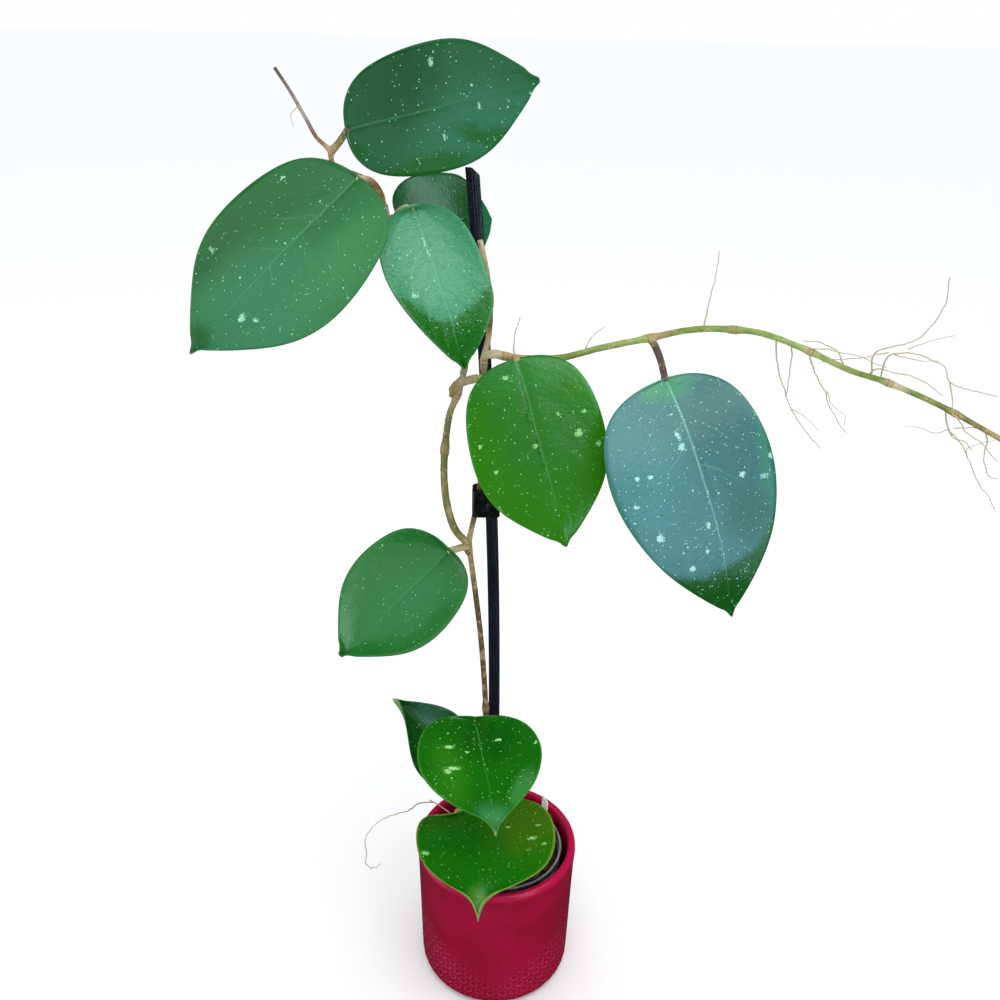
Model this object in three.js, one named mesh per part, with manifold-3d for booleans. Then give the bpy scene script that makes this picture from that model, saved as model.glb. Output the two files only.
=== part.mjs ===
// A potted climbing hoya: broad, thick leaves on stems trained up a plastic stake, in a nursery pot of
// bark mix that stands inside a glazed cover pot.
// Millimetres. +Z is up, +X is to the right and -Y is towards the front. The origin is the centre of
// the cover pot's foot.

import * as THREE from "three";
import Module from "manifold-3d";

const wasm = await Module();
wasm.setup();

// Clearance left between pieces that rest on or hold each other, and where a stem meets the curved
// base of a blade.
const GAP = 0.3;
const LEAF_GAP = 0.6;
const ROUND = 2 * Math.PI;

// Colour and roughness of each kind of piece.
const FINISH = {
  crimsonGlaze: [0x8c0028, 0.35],
  clearPlastic: [0x5a6064, 0.3],
  leaf: [0x2f7a35, 0.3],
  brownStem: [0x7a5a38, 0.75],
  oliveStem: [0x8a8a50, 0.65],
  greenStem: [0x8fa060, 0.6],
  cutStem: [0xb89a70, 0.8],
  blackPlastic: [0x14162a, 0.4],
  clipPlastic: [0x101014, 0.35],
  label: [0xf2f2ee, 0.5],
  barkMix: [0x3a2a1c, 0.9],
};

const part = new THREE.Group();
part.name = "potted_hoya";
const pots = new THREE.Group();
pots.name = "pots_and_mix";
const support = new THREE.Group();
support.name = "stake_clip_and_label";
const plant = new THREE.Group();
plant.name = "plant";
part.add(pots, support, plant);

// Vertices and triangles of one closed surface, gathered ring by ring.
class Shell {
  constructor() {
    this.vertices = [];
    this.triangles = [];
  }

  vertex(x, y, z) {
    this.vertices.push(x, y, z);
    return this.vertices.length / 3 - 1;
  }

  triangle(a, b, c) {
    this.triangles.push(a, b, c);
  }

  // Joins two closed rings. The outside is on the right of the way from lower to upper, seen along the
  // ring. A ring of one vertex is a pole.
  band(lower, upper) {
    const count = Math.max(lower.length, upper.length);
    for (let k = 0; k < count; k++) {
      const next = (k + 1) % count;
      if (lower.length > 1) {
        this.triangle(lower[k], lower[next], upper[upper.length > 1 ? next : 0]);
      }
      if (upper.length > 1) {
        this.triangle(lower[lower.length > 1 ? k : 0], upper[next], upper[k]);
      }
    }
  }

  solid() {
    return new wasm.Manifold(
      new wasm.Mesh({
        numProp: 3,
        vertProperties: new Float32Array(this.vertices),
        triVerts: new Uint32Array(this.triangles),
      }),
    );
  }
}

// The largest body of a solid, without the scraps that a cut can leave.
function mainBody(solid) {
  const bodies = solid.decompose();
  return bodies.reduce((best, body) => (body.volume() > best.volume() ? body : best));
}

function addNode(group, name, solid, [color, roughness]) {
  const mesh = mainBody(solid).getMesh();
  const geometry = new THREE.BufferGeometry();
  geometry.setAttribute("position", new THREE.BufferAttribute(mesh.vertProperties, mesh.numProp));
  geometry.setIndex(new THREE.BufferAttribute(mesh.triVerts, 1));
  geometry.computeVertexNormals();
  const material = new THREE.MeshStandardMaterial({ color, roughness, metalness: 0 });
  const node = new THREE.Mesh(geometry, material);
  node.name = name;
  group.add(node);
}

// A body of revolution about a vertical axis, from a profile of [radius, height] pairs that starts and
// ends on the axis.
function revolve(profile, segments, [centreX, centreY] = [0, 0]) {
  const shell = new Shell();
  const rings = profile.map(([radius, height]) => {
    if (radius === 0) {
      return [shell.vertex(centreX, centreY, height)];
    }
    return Array.from({ length: segments }, (_, k) => {
      const angle = (ROUND * k) / segments;
      return shell.vertex(
        centreX + radius * Math.cos(angle),
        centreY + radius * Math.sin(angle),
        height,
      );
    });
  });
  for (let i = 1; i < rings.length; i++) {
    shell.band(rings[i - 1], rings[i]);
  }
  return shell.solid();
}

// A section carried along a path without twisting. section(t) lists [across, over] pairs,
// counterclockwise, for t from 0 to 1 along the path; side is the first across direction.
function sweep(path, section, side) {
  const shell = new Shell();
  const last = path.length - 1;
  let across = side.clone();
  let previous = [shell.vertex(...path[0])];
  path.forEach((point, i) => {
    const along = path[Math.min(i + 1, last)].clone().sub(path[Math.max(i - 1, 0)]).normalize();
    across = across.addScaledVector(along, -across.dot(along)).normalize();
    const over = along.clone().cross(across);
    const ring = section(i / last).map(([a, o]) =>
      shell.vertex(...point.clone().addScaledVector(across, a).addScaledVector(over, o)),
    );
    shell.band(previous, ring);
    previous = ring;
  });
  shell.band(previous, [shell.vertex(...path[last])]);
  return shell.solid();
}

// A smooth path through the given points, in steps of about the given length.
function route(points, step) {
  const curve = new THREE.CatmullRomCurve3(
    points.map((p) => new THREE.Vector3(...p)),
    false,
    "centripetal",
  );
  return curve.getSpacedPoints(Math.max(2, Math.round(curve.getLength() / step)));
}

// The path with both ends moved out by the same distance.
function lengthened(path, distance) {
  const last = path.length - 1;
  const reach = (end, next) => end.clone().sub(next).normalize().multiplyScalar(distance).add(end);
  return [reach(path[0], path[1]), ...path.slice(1, last), reach(path[last], path[last - 1])];
}

function circle(radius, sides) {
  return Array.from({ length: sides }, (_, k) => {
    const angle = (ROUND * k) / sides;
    return [radius * Math.cos(angle), radius * Math.sin(angle)];
  });
}

// A round stem along a route. Its radius runs evenly from start to end, and swells at each joint, which
// is given as a share of the length.
const STEM_SIDES = 6;
const STEM_SIDE = new THREE.Vector3(0.6, -0.8, 0);
const STEM_STEP = 8;
const PETIOLE_STEP = 4.5;
const JOINT_SWELLING = 0.35;
const JOINT_LENGTH = 4.5;

function stem({ points, start, end, joints = [], step = STEM_STEP }, grow = 0) {
  const path = lengthened(route(points, step), grow);
  const length = step * path.length;
  const swelling = (t) =>
    joints.reduce((most, at) => {
      const away = ((t - at) * length) / JOINT_LENGTH;
      return Math.max(most, Math.exp(-away * away));
    }, 0);
  const radius = (t) => (start + (end - start) * t) * (1 + JOINT_SWELLING * swelling(t)) + grow;
  return sweep(path, (t) => circle(radius(t), STEM_SIDES), STEM_SIDE);
}

// A hair-thin aerial root, kept just thick enough to be a sound solid.
const ROOT_RADIUS = 0.62;
const ROOT_TIP_RADIUS = 0.45;
const ROOT_SIDES = 3;
const ROOT_STEP = 8;
const ROOT_SIDE = new THREE.Vector3(0.5, 0.5, 0.7);

function root(points, grow = 0) {
  const radius = (t) => ROOT_RADIUS + (ROOT_TIP_RADIUS - ROOT_RADIUS) * t + 2 * grow;
  return sweep(route(points, ROOT_STEP), (t) => circle(radius(t), ROOT_SIDES), ROOT_SIDE);
}

// A rectangle with rounded corners, as a section.
const CORNER_STEPS = 3;

function roundedRectangle([halfWidth, halfDepth], corner) {
  return [
    [1, 1],
    [-1, 1],
    [-1, -1],
    [1, -1],
  ].flatMap(([signX, signY], quarter) =>
    Array.from({ length: CORNER_STEPS + 1 }, (_, k) => {
      const angle = (ROUND / 4) * (quarter + k / CORNER_STEPS);
      return [
        signX * (halfWidth - corner) + corner * Math.cos(angle),
        signY * (halfDepth - corner) + corner * Math.sin(angle),
      ];
    }),
  );
}

function union(solids) {
  return solids.reduce((all, one) => all.add(one));
}

function without(solid, cutters) {
  return cutters.reduce((rest, cutter) => rest.subtract(cutter), solid);
}

// Cover pot: a cylinder with a slight taper, a rounded foot edge and a thick rounded rim.
const COVER_HEIGHT = 115;
const COVER_FLOOR = 7;
const COVER_SEGMENTS = 48;
const COVER_PROFILE = [
  [0, 0],
  [47, 0],
  [51.5, 0.8],
  [55, 3],
  [56.9, 6.2],
  [57.4, 10],
  [59.2, 100],
  [60, 107],
  [60, 111.2],
  [59.1, 113.8],
  [57, COVER_HEIGHT],
  [55.2, 114.4],
  [54.2, 112],
  [54, 106],
  [52.4, 14],
  [50, 9],
  [45, COVER_FLOOR],
  [0, COVER_FLOOR],
];

addNode(pots, "cover_pot", revolve(COVER_PROFILE, COVER_SEGMENTS), FINISH.crimsonGlaze);

// Nursery pot: thin, clear plastic with a rolled rim, off centre so that it leans near the back right.
const NURSERY_CENTRE = [3, 5];
const NURSERY_FOOT = COVER_FLOOR + GAP;
const NURSERY_FLOOR = NURSERY_FOOT + 1.6;
const NURSERY_RIM = 105;
const NURSERY_SEGMENTS = 32;
const NURSERY_PROFILE = [
  [0, NURSERY_FOOT],
  [37, NURSERY_FOOT],
  [38.5, NURSERY_FOOT + 2],
  [44.4, 94],
  [46.6, 95],
  [46.9, 98],
  [46.2, 99.4],
  [47.1, 101],
  [47.4, 103.6],
  [46.6, NURSERY_RIM],
  [45.3, 104.6],
  [44.8, 102],
  [43, 93],
  [37, NURSERY_FLOOR + 1],
  [36, NURSERY_FLOOR],
  [0, NURSERY_FLOOR],
];

const nurseryPot = revolve(NURSERY_PROFILE, NURSERY_SEGMENTS, NURSERY_CENTRE);
addNode(pots, "nursery_pot", nurseryPot, FINISH.clearPlastic);

// Leaves. Each blade lies between its base and its tip and looks towards "facing". On each side its
// outline runs from the base, back round a lobe, out to the belly and in to a drawn-out point.
// lobe, belly and point are shares of the length, and shoulder is the share of the width between belly
// and point. skew makes the right half wider than the left, and lean moves its belly towards the tip.
// arch bends the blade along its length, dish raises its sides and wave ripples its margin, all as
// shares of the length.
const LEAF_ROWS = 14;
const LEAF_COLUMNS = 8;
const BLADE_THICKNESS = 1.9;
const MARGIN_THICKNESS = 1.1;
const MIDRIB_STATIONS = [0, 0.03, 0.14, 0.33, 0.57, 0.8, 0.94, 1];
const POINT_WIDTH = 0.13;
const TIP_CURL = 0.02;
const RIPPLES = 1.5;
const RIPPLE_OFFSET = 2;

const LEAVES = {
  leaf_top: {
    base: [-91.5, 4, 620],
    tip: [10.5, -26, 648.5],
    facing: [0.09, -0.95, 0.29],
    width: 68,
    skew: 0,
    lobe: -0.03,
    belly: 0.5,
    lean: 0.02,
    shoulder: 0.84,
    point: 0.015,
    arch: -0.02,
    dish: 0.01,
    wave: 0.005,
  },
  leaf_upper_left: {
    base: [-84.5, -8, 596.3],
    tip: [-170.5, -62, 513],
    facing: [-0.38, -0.78, 0.49],
    width: 106,
    skew: -0.04,
    lobe: -0.03,
    belly: 0.48,
    lean: -0.04,
    shoulder: 0.8,
    point: 0.036,
    arch: 0.01,
    dish: 0.015,
    wave: 0.006,
  },
  leaf_behind_stake: {
    base: [-65, 8, 573],
    tip: [-11, 44, 566.5],
    facing: [0.3, -0.8, 0.5],
    width: 54,
    skew: 0,
    lobe: 0.01,
    belly: 0.52,
    lean: 0,
    shoulder: 0.92,
    point: 0.01,
    arch: 0.05,
    dish: 0.01,
    wave: 0.01,
  },
  leaf_upper_front: {
    base: [-55, -9, 581],
    tip: [-25, -42, 501],
    facing: [0.27, -0.75, 0.61],
    width: 59.5,
    skew: 0.03,
    lobe: -0.04,
    belly: 0.51,
    lean: -0.09,
    shoulder: 0.75,
    point: 0.01,
    arch: 0.045,
    dish: 0.055,
    wave: 0.012,
  },
  leaf_centre: {
    base: [5.5, -14, 496.5],
    tip: [37.5, -50, 393.3],
    facing: [0.07, -0.91, 0.41],
    width: 83,
    skew: 0.02,
    lobe: -0.03,
    belly: 0.46,
    lean: 0.02,
    shoulder: 0.85,
    point: 0.027,
    arch: 0.036,
    dish: -0.01,
    wave: 0.008,
  },
  leaf_right: {
    base: [93.3, -16, 487],
    tip: [141, -56, 350.5],
    facing: [0.2, -0.9, 0.39],
    width: 103.6,
    skew: 0.1,
    lobe: -0.03,
    belly: 0.4,
    lean: -0.015,
    shoulder: 0.77,
    point: 0.048,
    arch: 0.1,
    dish: 0.01,
    wave: 0.006,
  },
  leaf_mid_left: {
    base: [-35, -14, 368],
    tip: [-98, -62, 319.6],
    facing: [-0.19, -0.74, 0.64],
    width: 75.5,
    skew: 0.04,
    lobe: -0.02,
    belly: 0.45,
    lean: -0.02,
    shoulder: 0.83,
    point: 0.016,
    arch: -0.02,
    dish: 0.06,
    wave: 0.004,
  },
  leaf_low_back: {
    base: [-19.5, 14, 152],
    tip: [-77, 16, 229],
    facing: [0.5, -0.6, 0.6],
    width: 53,
    skew: -0.06,
    lobe: 0,
    belly: 0.45,
    lean: 0,
    shoulder: 0.75,
    point: 0.06,
    arch: 0.03,
    dish: 0.08,
    wave: 0.04,
  },
  leaf_low_front: {
    base: [-18, -6, 227.5],
    tip: [-1, -100, 214],
    facing: [0.13, -0.33, 0.93],
    width: 87.5,
    skew: 0.05,
    lobe: 0,
    belly: 0.44,
    lean: 0.06,
    shoulder: 0.77,
    point: 0.065,
    arch: 0.05,
    dish: 0.045,
    wave: 0.004,
  },
  leaf_over_rim: {
    base: [-10.5, 3, 142],
    tip: [-12, -86, 124.5],
    facing: [-0.1, -0.42, 0.9],
    width: 102,
    skew: -0.08,
    lobe: 0.03,
    belly: 0.37,
    lean: -0.05,
    shoulder: 0.87,
    point: 0.12,
    arch: 0.1,
    dish: 0.06,
    wave: 0.004,
  },
};

// One half of the outline as [along, across] in millimetres. sign is 1 for the right half and -1 for
// the left one, which is drawn on the right too.
function leafSide(leaf, length, sign) {
  const half = (leaf.width / 2) * (1 + sign * leaf.skew);
  const belly = leaf.belly + sign * leaf.lean;
  const { lobe, point, shoulder } = leaf;
  const rest = 1 - belly;
  return new THREE.SplineCurve(
    // base, lobe, shoulder, belly, outer shoulder, narrowing, point and tip
    [
      [0, 0],
      [-lobe, 0.38],
      [0.3 * belly - 0.4 * lobe, 0.82],
      [belly, 1],
      [belly + 0.45 * rest, shoulder],
      [belly + 0.8 * rest - 0.5 * point, shoulder / 2],
      [1 - point, POINT_WIDTH],
      [1, 0],
    ].map(([along, across]) => new THREE.Vector2(along * length, across * half)),
  );
}

function leafSolid(leaf, grow = 0) {
  const base = new THREE.Vector3(...leaf.base);
  const along = new THREE.Vector3(...leaf.tip).sub(base);
  const length = along.length();
  along.normalize();
  const normal = new THREE.Vector3(...leaf.facing);
  normal.addScaledVector(along, -normal.dot(along)).normalize();
  const across = along.clone().cross(normal);

  const left = leafSide(leaf, length, -1);
  const right = leafSide(leaf, length, 1);
  const midrib = new THREE.SplineCurve(
    MIDRIB_STATIONS.map((share) => new THREE.Vector2(share * length, 0)),
  );
  const half = LEAF_COLUMNS / 2;

  // A point of the flat blade: row share 0 to 1, column -half to half.
  const flat = (share, column) => {
    const side = column < 0 ? left : right;
    const edge = side.getPoint(share);
    const out = side.getTangent(share);
    const away = Math.abs(column) / half;
    const sign = Math.sign(column);
    const x = THREE.MathUtils.lerp(midrib.getPoint(share).x, edge.x - grow * out.y, away);
    return [x, sign * away * (edge.y + grow * out.x)];
  };

  const height = (x, share, column) => {
    const t = x / length;
    const away = Math.abs(column) / half;
    const phase = column < 0 ? 0 : RIPPLE_OFFSET;
    const bend = leaf.arch * 4 * t * (1 - t) - TIP_CURL * t ** 4;
    const ripple = leaf.wave * Math.sin(ROUND * RIPPLES * t + phase);
    return length * (bend + (leaf.dish + ripple) * away * away);
  };

  const shell = new Shell();
  const place = (x, y, z) =>
    shell.vertex(
      ...base
        .clone()
        .addScaledVector(along, x)
        .addScaledVector(across, y)
        .addScaledVector(normal, z),
    );
  const upper = [];
  const lower = [];
  for (let row = 0; row <= LEAF_ROWS; row++) {
    const share = row / LEAF_ROWS;
    const pole = row === 0 || row === LEAF_ROWS;
    const columns = pole ? [0] : Array.from({ length: LEAF_COLUMNS + 1 }, (_, k) => k - half);
    const halfThick = (column) => {
      const away = pole ? 1 : (Math.abs(column) / half) ** 2;
      return THREE.MathUtils.lerp(BLADE_THICKNESS, MARGIN_THICKNESS, away) / 2 + grow;
    };
    const spots = columns.map((column) => {
      const end = row === 0 ? -grow : grow;
      const [x, y] = pole ? [share * length + end, 0] : flat(share, column);
      return [x, y, height(x, share, column), halfThick(column)];
    });
    upper.push(spots.map(([x, y, z, thick]) => place(x, y, z + thick)));
    lower.push(spots.map(([x, y, z, thick]) => place(x, y, z - thick)));
  }

  for (let row = 0; row < LEAF_ROWS; row++) {
    const [near, far] = [row, row + 1];
    for (let k = 0; k < LEAF_COLUMNS; k++) {
      if (near > 0) {
        const farColumn = far < LEAF_ROWS ? k + 1 : 0;
        shell.triangle(upper[near][k], upper[near][k + 1], upper[far][farColumn]);
        shell.triangle(lower[near][k], lower[far][farColumn], lower[near][k + 1]);
      }
      if (far < LEAF_ROWS) {
        const nearColumn = near > 0 ? k : 0;
        shell.triangle(upper[near][nearColumn], upper[far][k + 1], upper[far][k]);
        shell.triangle(lower[near][nearColumn], lower[far][k], lower[far][k + 1]);
      }
    }
  }

  const rim = (rows) => [
    rows[0][0],
    ...rows.slice(1, -1).map((row) => row[LEAF_COLUMNS]),
    rows[LEAF_ROWS][0],
    ...rows
      .slice(1, -1)
      .map((row) => row[0])
      .reverse(),
  ];
  shell.band(rim(lower), rim(upper));
  return shell.solid();
}

// Stake: a plastic strip with a shallow groove down its front. It stands in the mix behind the middle,
// leans forward a little, and is pulled to the left above the bottom leaves.
const STAKE_FOOT = 20;
const STAKE_TOP = 602;
const STAKE_BEND_START = 177;
const STAKE_X = -3.6;
const STAKE_BEND = 1.02e-4;
const STAKE_FOOT_Y = 14;
const STAKE_TOP_Y = 0.5;
const STAKE_STEPS = 14;
const STAKE_WIDTH = 7.8;
const STAKE_DEPTH = 4.4;
const STAKE_CORNER = 1.1;
const STAKE_GROOVE = 0.7;
const STAKE_NOTCH = 4;

function stakePoint(height) {
  const above = Math.max(0, height - STAKE_BEND_START);
  const share = (height - STAKE_FOOT) / (STAKE_TOP - STAKE_FOOT);
  const y = THREE.MathUtils.lerp(STAKE_FOOT_Y, STAKE_TOP_Y, share);
  return new THREE.Vector3(STAKE_X - STAKE_BEND * above * above, y, height);
}

function stakeSolid(grow = 0) {
  const halfWidth = STAKE_WIDTH / 2 + grow;
  const halfDepth = STAKE_DEPTH / 2 + grow;
  const groove = grow > 0 ? 0 : STAKE_GROOVE;
  const section = [
    [halfWidth, halfDepth - STAKE_CORNER],
    [halfWidth - STAKE_CORNER, halfDepth],
    [-halfWidth + STAKE_CORNER, halfDepth],
    [-halfWidth, halfDepth - STAKE_CORNER],
    [-halfWidth, -halfDepth + STAKE_CORNER],
    [-halfWidth + STAKE_CORNER, -halfDepth],
    [-halfWidth / 4, -halfDepth],
    [0, -halfDepth + groove],
    [halfWidth / 4, -halfDepth],
    [halfWidth - STAKE_CORNER, -halfDepth],
    [halfWidth, -halfDepth + STAKE_CORNER],
  ];
  const path = Array.from({ length: STAKE_STEPS + 1 }, (_, k) =>
    stakePoint(STAKE_FOOT - grow + ((STAKE_TOP - STAKE_FOOT) * k) / STAKE_STEPS),
  );
  return sweep(path, () => section, new THREE.Vector3(1, 0, 0));
}

// A block between two corners.
function block([x0, y0, z0], [x1, y1, z1]) {
  const shell = new Shell();
  const ring = (z) => [
    shell.vertex(x0, y0, z),
    shell.vertex(x1, y0, z),
    shell.vertex(x1, y1, z),
    shell.vertex(x0, y1, z),
  ];
  const lower = ring(z0);
  const upper = ring(z1);
  shell.band(lower, upper);
  shell.triangle(lower[0], lower[2], lower[1]);
  shell.triangle(lower[0], lower[3], lower[2]);
  shell.triangle(upper[0], upper[1], upper[2]);
  shell.triangle(upper[0], upper[2], upper[3]);
  return shell.solid();
}

// Main stem: brown and woody, out of the mix beside the stake, through the clip and up the front of the
// stake past the joint that the runner leaves from.
const MAIN_STEM = {
  points: [
    [-9, 7, 45],
    [-9.9, 7.5, 130],
    [-9.9, 5.5, 190],
    [-9.7, 4, 225],
    [-13.8, 2, 290],
    [-21.4, -1.5, 357],
    [-22.6, -2, 366],
    [-18.3, -0.5, 390.5],
    [-15.9, 0, 406],
    [-13.6, -1, 440],
    [-13.8, -1.3, 474],
    [-14, -2.7, 493.5],
    [-11.5, -2.6, 506],
    [-10.8, -2.6, 523],
    [-12.9, -2.8, 543],
    [-17.1, -3.2, 563],
  ],
  start: 2.1,
  end: 1.7,
  joints: [0.16, 0.36, 0.615, 0.86],
};
const MAIN_PETIOLES = [
  // to the low front leaf
  { points: [[-9.7, 4, 222], [-13.5, -1, 226], [-18, -6.4, 227.2]], start: 1.7, end: 1.5 },
  // to the leaf over the rim
  { points: [[-9.9, 7.5, 128], [-10.4, 5.2, 137], [-10.6, 2.6, 142.2]], start: 1.9, end: 1.6 },
  // to the low back leaf
  { points: [[-9.9, 7.5, 128], [-12.5, 11, 139], [-19.7, 14.2, 152.4]], start: 1.9, end: 1.6 },
  // to the mid left leaf
  { points: [[-22.6, -2, 366], [-28, -8, 367], [-35.4, -14.3, 367.8]], start: 2, end: 1.8 },
];

// Climbing shoot: olive, up from a joint of the main stem to the upper leaves, and out to a dry twig.
const SHOOT = {
  points: [
    [-24, -3.5, 369],
    [-31, -8, 380],
    [-36.2, -10, 399],
    [-38, -10, 423],
    [-34.5, -10, 459],
    [-31, -10, 469],
    [-27.5, -10, 480],
    [-25, -9, 493],
    [-30, -5, 515],
    [-48, 0, 545],
    [-68, 2, 566],
    [-72, 3, 580],
    [-80, 4, 593],
    [-100, 4, 602],
    [-101.5, 4, 609],
    [-108.6, 4, 616],
    [-113.7, 5, 625],
    [-121.7, 6, 639],
    [-129.7, 7, 651],
  ],
  start: 2.3,
  end: 0.9,
  joints: [0.22, 0.33, 0.6, 0.84],
};
const SHOOT_PETIOLES = [
  // to the top leaf
  { points: [[-101.5, 4, 608], [-96, 3.5, 613.5], [-91, 3.7, 620.4]], start: 2.2, end: 1.8 },
  // to the upper left leaf
  { points: [[-72, 3, 576], [-74, 0, 588], [-79, -5, 595], [-85, -8.2, 596]], start: 2.1, end: 1.7 },
  // to the upper front leaf
  { points: [[-68, 2, 567], [-64, -4, 577], [-59, -8, 581], [-54.5, -9.3, 580.6]], start: 1.8, end: 1.5 },
  // to the leaf behind the stake
  { points: [[-71, 3, 572], [-68.5, 6, 573], [-64.8, 8.2, 573]], start: 1.8, end: 1.5 },
  // short branch from the joint across to the main stem
  { points: [[-27.5, -10, 480], [-22, -7, 481.5], [-14, -1.5, 483]], start: 2.1, end: 1.9 },
];

// Runner: green, from the main stem's top joint out to the right in a long arch.
const RUNNER = {
  points: [
    [-14, -3, 494.5],
    [-9.5, -5, 496.5],
    [4.6, -3, 494],
    [32, 2, 493],
    [56, 2, 499.6],
    [85, 0, 507],
    [108, 0, 512.3],
    [126, 0, 513.3],
    [148.6, -5, 512.7],
    [172, -10, 506],
    [202, -15, 494],
    [222, -20, 489],
    [254, -25, 477],
    [291, -30, 459],
    [299, -31, 455],
  ],
  start: 2.1,
  end: 1.6,
  joints: [0.04, 0.31, 0.46, 0.6, 0.75, 0.88],
};
const RUNNER_PETIOLES = [
  // to the centre leaf
  { points: [[4.6, -3, 494], [4.8, -9, 496], [5.6, -14.4, 496.2]], start: 2, end: 1.7 },
  // to the right leaf
  {
    points: [[85, 0, 507], [88, -6, 502.5], [90.7, -12, 496], [93.3, -16.3, 486.6]],
    start: 2.3,
    end: 2,
  },
];
const RUNNER_ROOTS = [
  [[116, 0, 513], [120, 7, 533], [124, 14, 556]],
  [[46, 2, 497], [50, 7, 504], [58, 12, 510]],
  [[4, -2, 494], [4, 5, 506], [7, 10, 515]],
  [[158, -7, 510], [162, -2, 494], [172, 3, 471], [179, 8, 459], [191, 13, 444], [203, 18, 431]],
  [[167, -9, 508], [170, -4, 492], [172, 3, 471]],
  [[177, -11, 504], [184, -4, 490], [193, 2, 478], [203, 9, 461], [217, 16, 443]],
  [[199, -15, 495], [194, -11, 504], [184, -6, 508], [176, -2, 508]],
  [
    [214, -18, 491],
    [212, -21, 506],
    [219, -24, 511],
    [234, -27, 518],
    [241, -34, 539],
    [238, -40, 555],
  ],
  [
    [219, -19, 490],
    [219, -23, 505],
    [228, -27, 509],
    [248, -32, 503],
    [252, -36, 495],
    [266, -40, 491],
    [277, -44, 490],
  ],
  [[252, -36, 495], [254, -38, 488], [255, -40, 480]],
  [[212, -17, 492], [215, -21, 497], [228, -24, 495], [240, -28, 493], [251, -32, 485]],
  [
    [257, -26, 476],
    [264, -22, 461],
    [273, -18, 453],
    [283, -14, 440],
    [293, -10, 425],
    [307, -6, 409],
    [313, -4, 400],
  ],
  [[264, -22, 461], [266, -25, 457], [272, -27, 456], [277, -30, 451]],
  [[260, -26, 474], [263, -30, 471], [269, -35, 464], [278, -40, 458], [286, -44, 450]],
  [[282, -28, 463], [287, -24, 457], [290, -20, 444], [297, -16, 429], [306, -12, 425]],
];

// Stub of a cut stem at the back left of the mix. Its pale roots wander over the mix, and one hangs
// out over the rim.
const STUB = {
  points: [[-28, 27, 62], [-29.5, 26, 90], [-31, 25, 110], [-30.5, 23.5, 117]],
  start: 2.6,
  end: 3.1,
  step: 9,
};
const STUB_ROOTS = [
  [[-31, 25, 110], [-36, 25, 113], [-44, 30, 116], [-54, 32, 121]],
  [[-31, 25, 109], [-38, 17, 111], [-41, 12, 109.5], [-38, 6, 103.5]],
  [[-36, 25, 113], [-38, 18, 109], [-36, 14, 104]],
  [
    [-50, 31.4, 119],
    [-61, 24, 124],
    [-69, 5, 132.5],
    [-81, 0, 133],
    [-91, -3, 128],
    [-99, -5, 117],
    [-100, -5, 110],
    [-99, -6, 102],
    [-100, -6, 91],
    [-96, -6, 85],
  ],
  [[-97, -6, 86], [-92, -7, 88], [-88, -8, 93]],
];

// Clip: a short collar that holds the main stem to the stake, with a stud on its front.
const CLIP_BOTTOM = 391;
const CLIP_TOP = 409;
const CLIP_CENTRE = [-11.6, 2.2];
const CLIP_HALF = [9, 7];
const CLIP_CORNER = 3;
const CLIP_STUD = [-7.5, -4.8, 399.5];
const CLIP_STUD_RADIUS = 4;
const CLIP_STUD_REACH = 3.5;

// Label: a blank strip of white plastic, pushed into the mix at the back right.
const LABEL_PATH = [[34, 22, 68], [36.3, 25.5, 105], [37.6, 27.5, 128]];
const LABEL_WIDTH = 10;
const LABEL_THICKNESS = 0.9;
const LABEL_SIDE = new THREE.Vector3(0.35, -0.94, 0);

function labelSolid(grow = 0) {
  const halfWidth = LABEL_WIDTH / 2 + grow;
  const halfThick = LABEL_THICKNESS / 2 + grow;
  const section = [
    [halfWidth, halfThick],
    [-halfWidth, halfThick],
    [-halfWidth, -halfThick],
    [halfWidth, -halfThick],
  ];
  const path = LABEL_PATH.map((p) => new THREE.Vector3(...p));
  path[0].z -= grow;
  return sweep(path, () => section, LABEL_SIDE);
}

// Potting mix: bark chips over a body that fills the nursery pot.
const MIX_TOP = 99;
const MIX_FOOT = NURSERY_FLOOR + GAP;
const MIX_CHIPS = 30;
const MIX_CHIP_REACH = 35;
const MIX_CHIP_HALF_LEAST = [4, 2.5, 1.6];
const MIX_CHIP_HALF_MORE = [4, 2.5, 1.2];
const MIX_CHIP_TILT = 60;
const MIX_PROFILE = [
  [0, MIX_FOOT],
  [35, MIX_FOOT],
  [36.4, MIX_FOOT + 2],
  [42.4, 91],
  [43.2, 98],
  [30, MIX_TOP],
  [15, MIX_TOP + 2],
  [0, MIX_TOP + 1],
];

// The same draws every time, from 0 to 1.
function seededDraws(seed) {
  let state = seed;
  return () => {
    state = (state * 1664525 + 1013904223) % 4294967296;
    return state / 4294967296;
  };
}

function barkChips() {
  const draw = seededDraws(7);
  return Array.from({ length: MIX_CHIPS }, () => {
    const angle = ROUND * draw();
    const reach = MIX_CHIP_REACH * Math.sqrt(draw());
    const half = MIX_CHIP_HALF_LEAST.map((least, axis) => least + MIX_CHIP_HALF_MORE[axis] * draw());
    const turn = (most) => most * (draw() - 0.5);
    return block(half.map((h) => -h), half)
      .rotate([turn(MIX_CHIP_TILT), turn(MIX_CHIP_TILT), turn(360)])
      .translate([
        NURSERY_CENTRE[0] + reach * Math.cos(angle),
        NURSERY_CENTRE[1] + reach * Math.sin(angle),
        MIX_TOP + 1,
      ]);
  });
}

function stemWith(main, petioles, roots = [], grow = 0) {
  return union([
    stem(main, grow),
    ...petioles.map((petiole) => stem({ step: PETIOLE_STEP, ...petiole }, grow)),
    ...roots.map((points) => root(points, grow)),
  ]);
}

for (const [name, leaf] of Object.entries(LEAVES)) {
  addNode(plant, name, leafSolid(leaf), FINISH.leaf);
}

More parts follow.
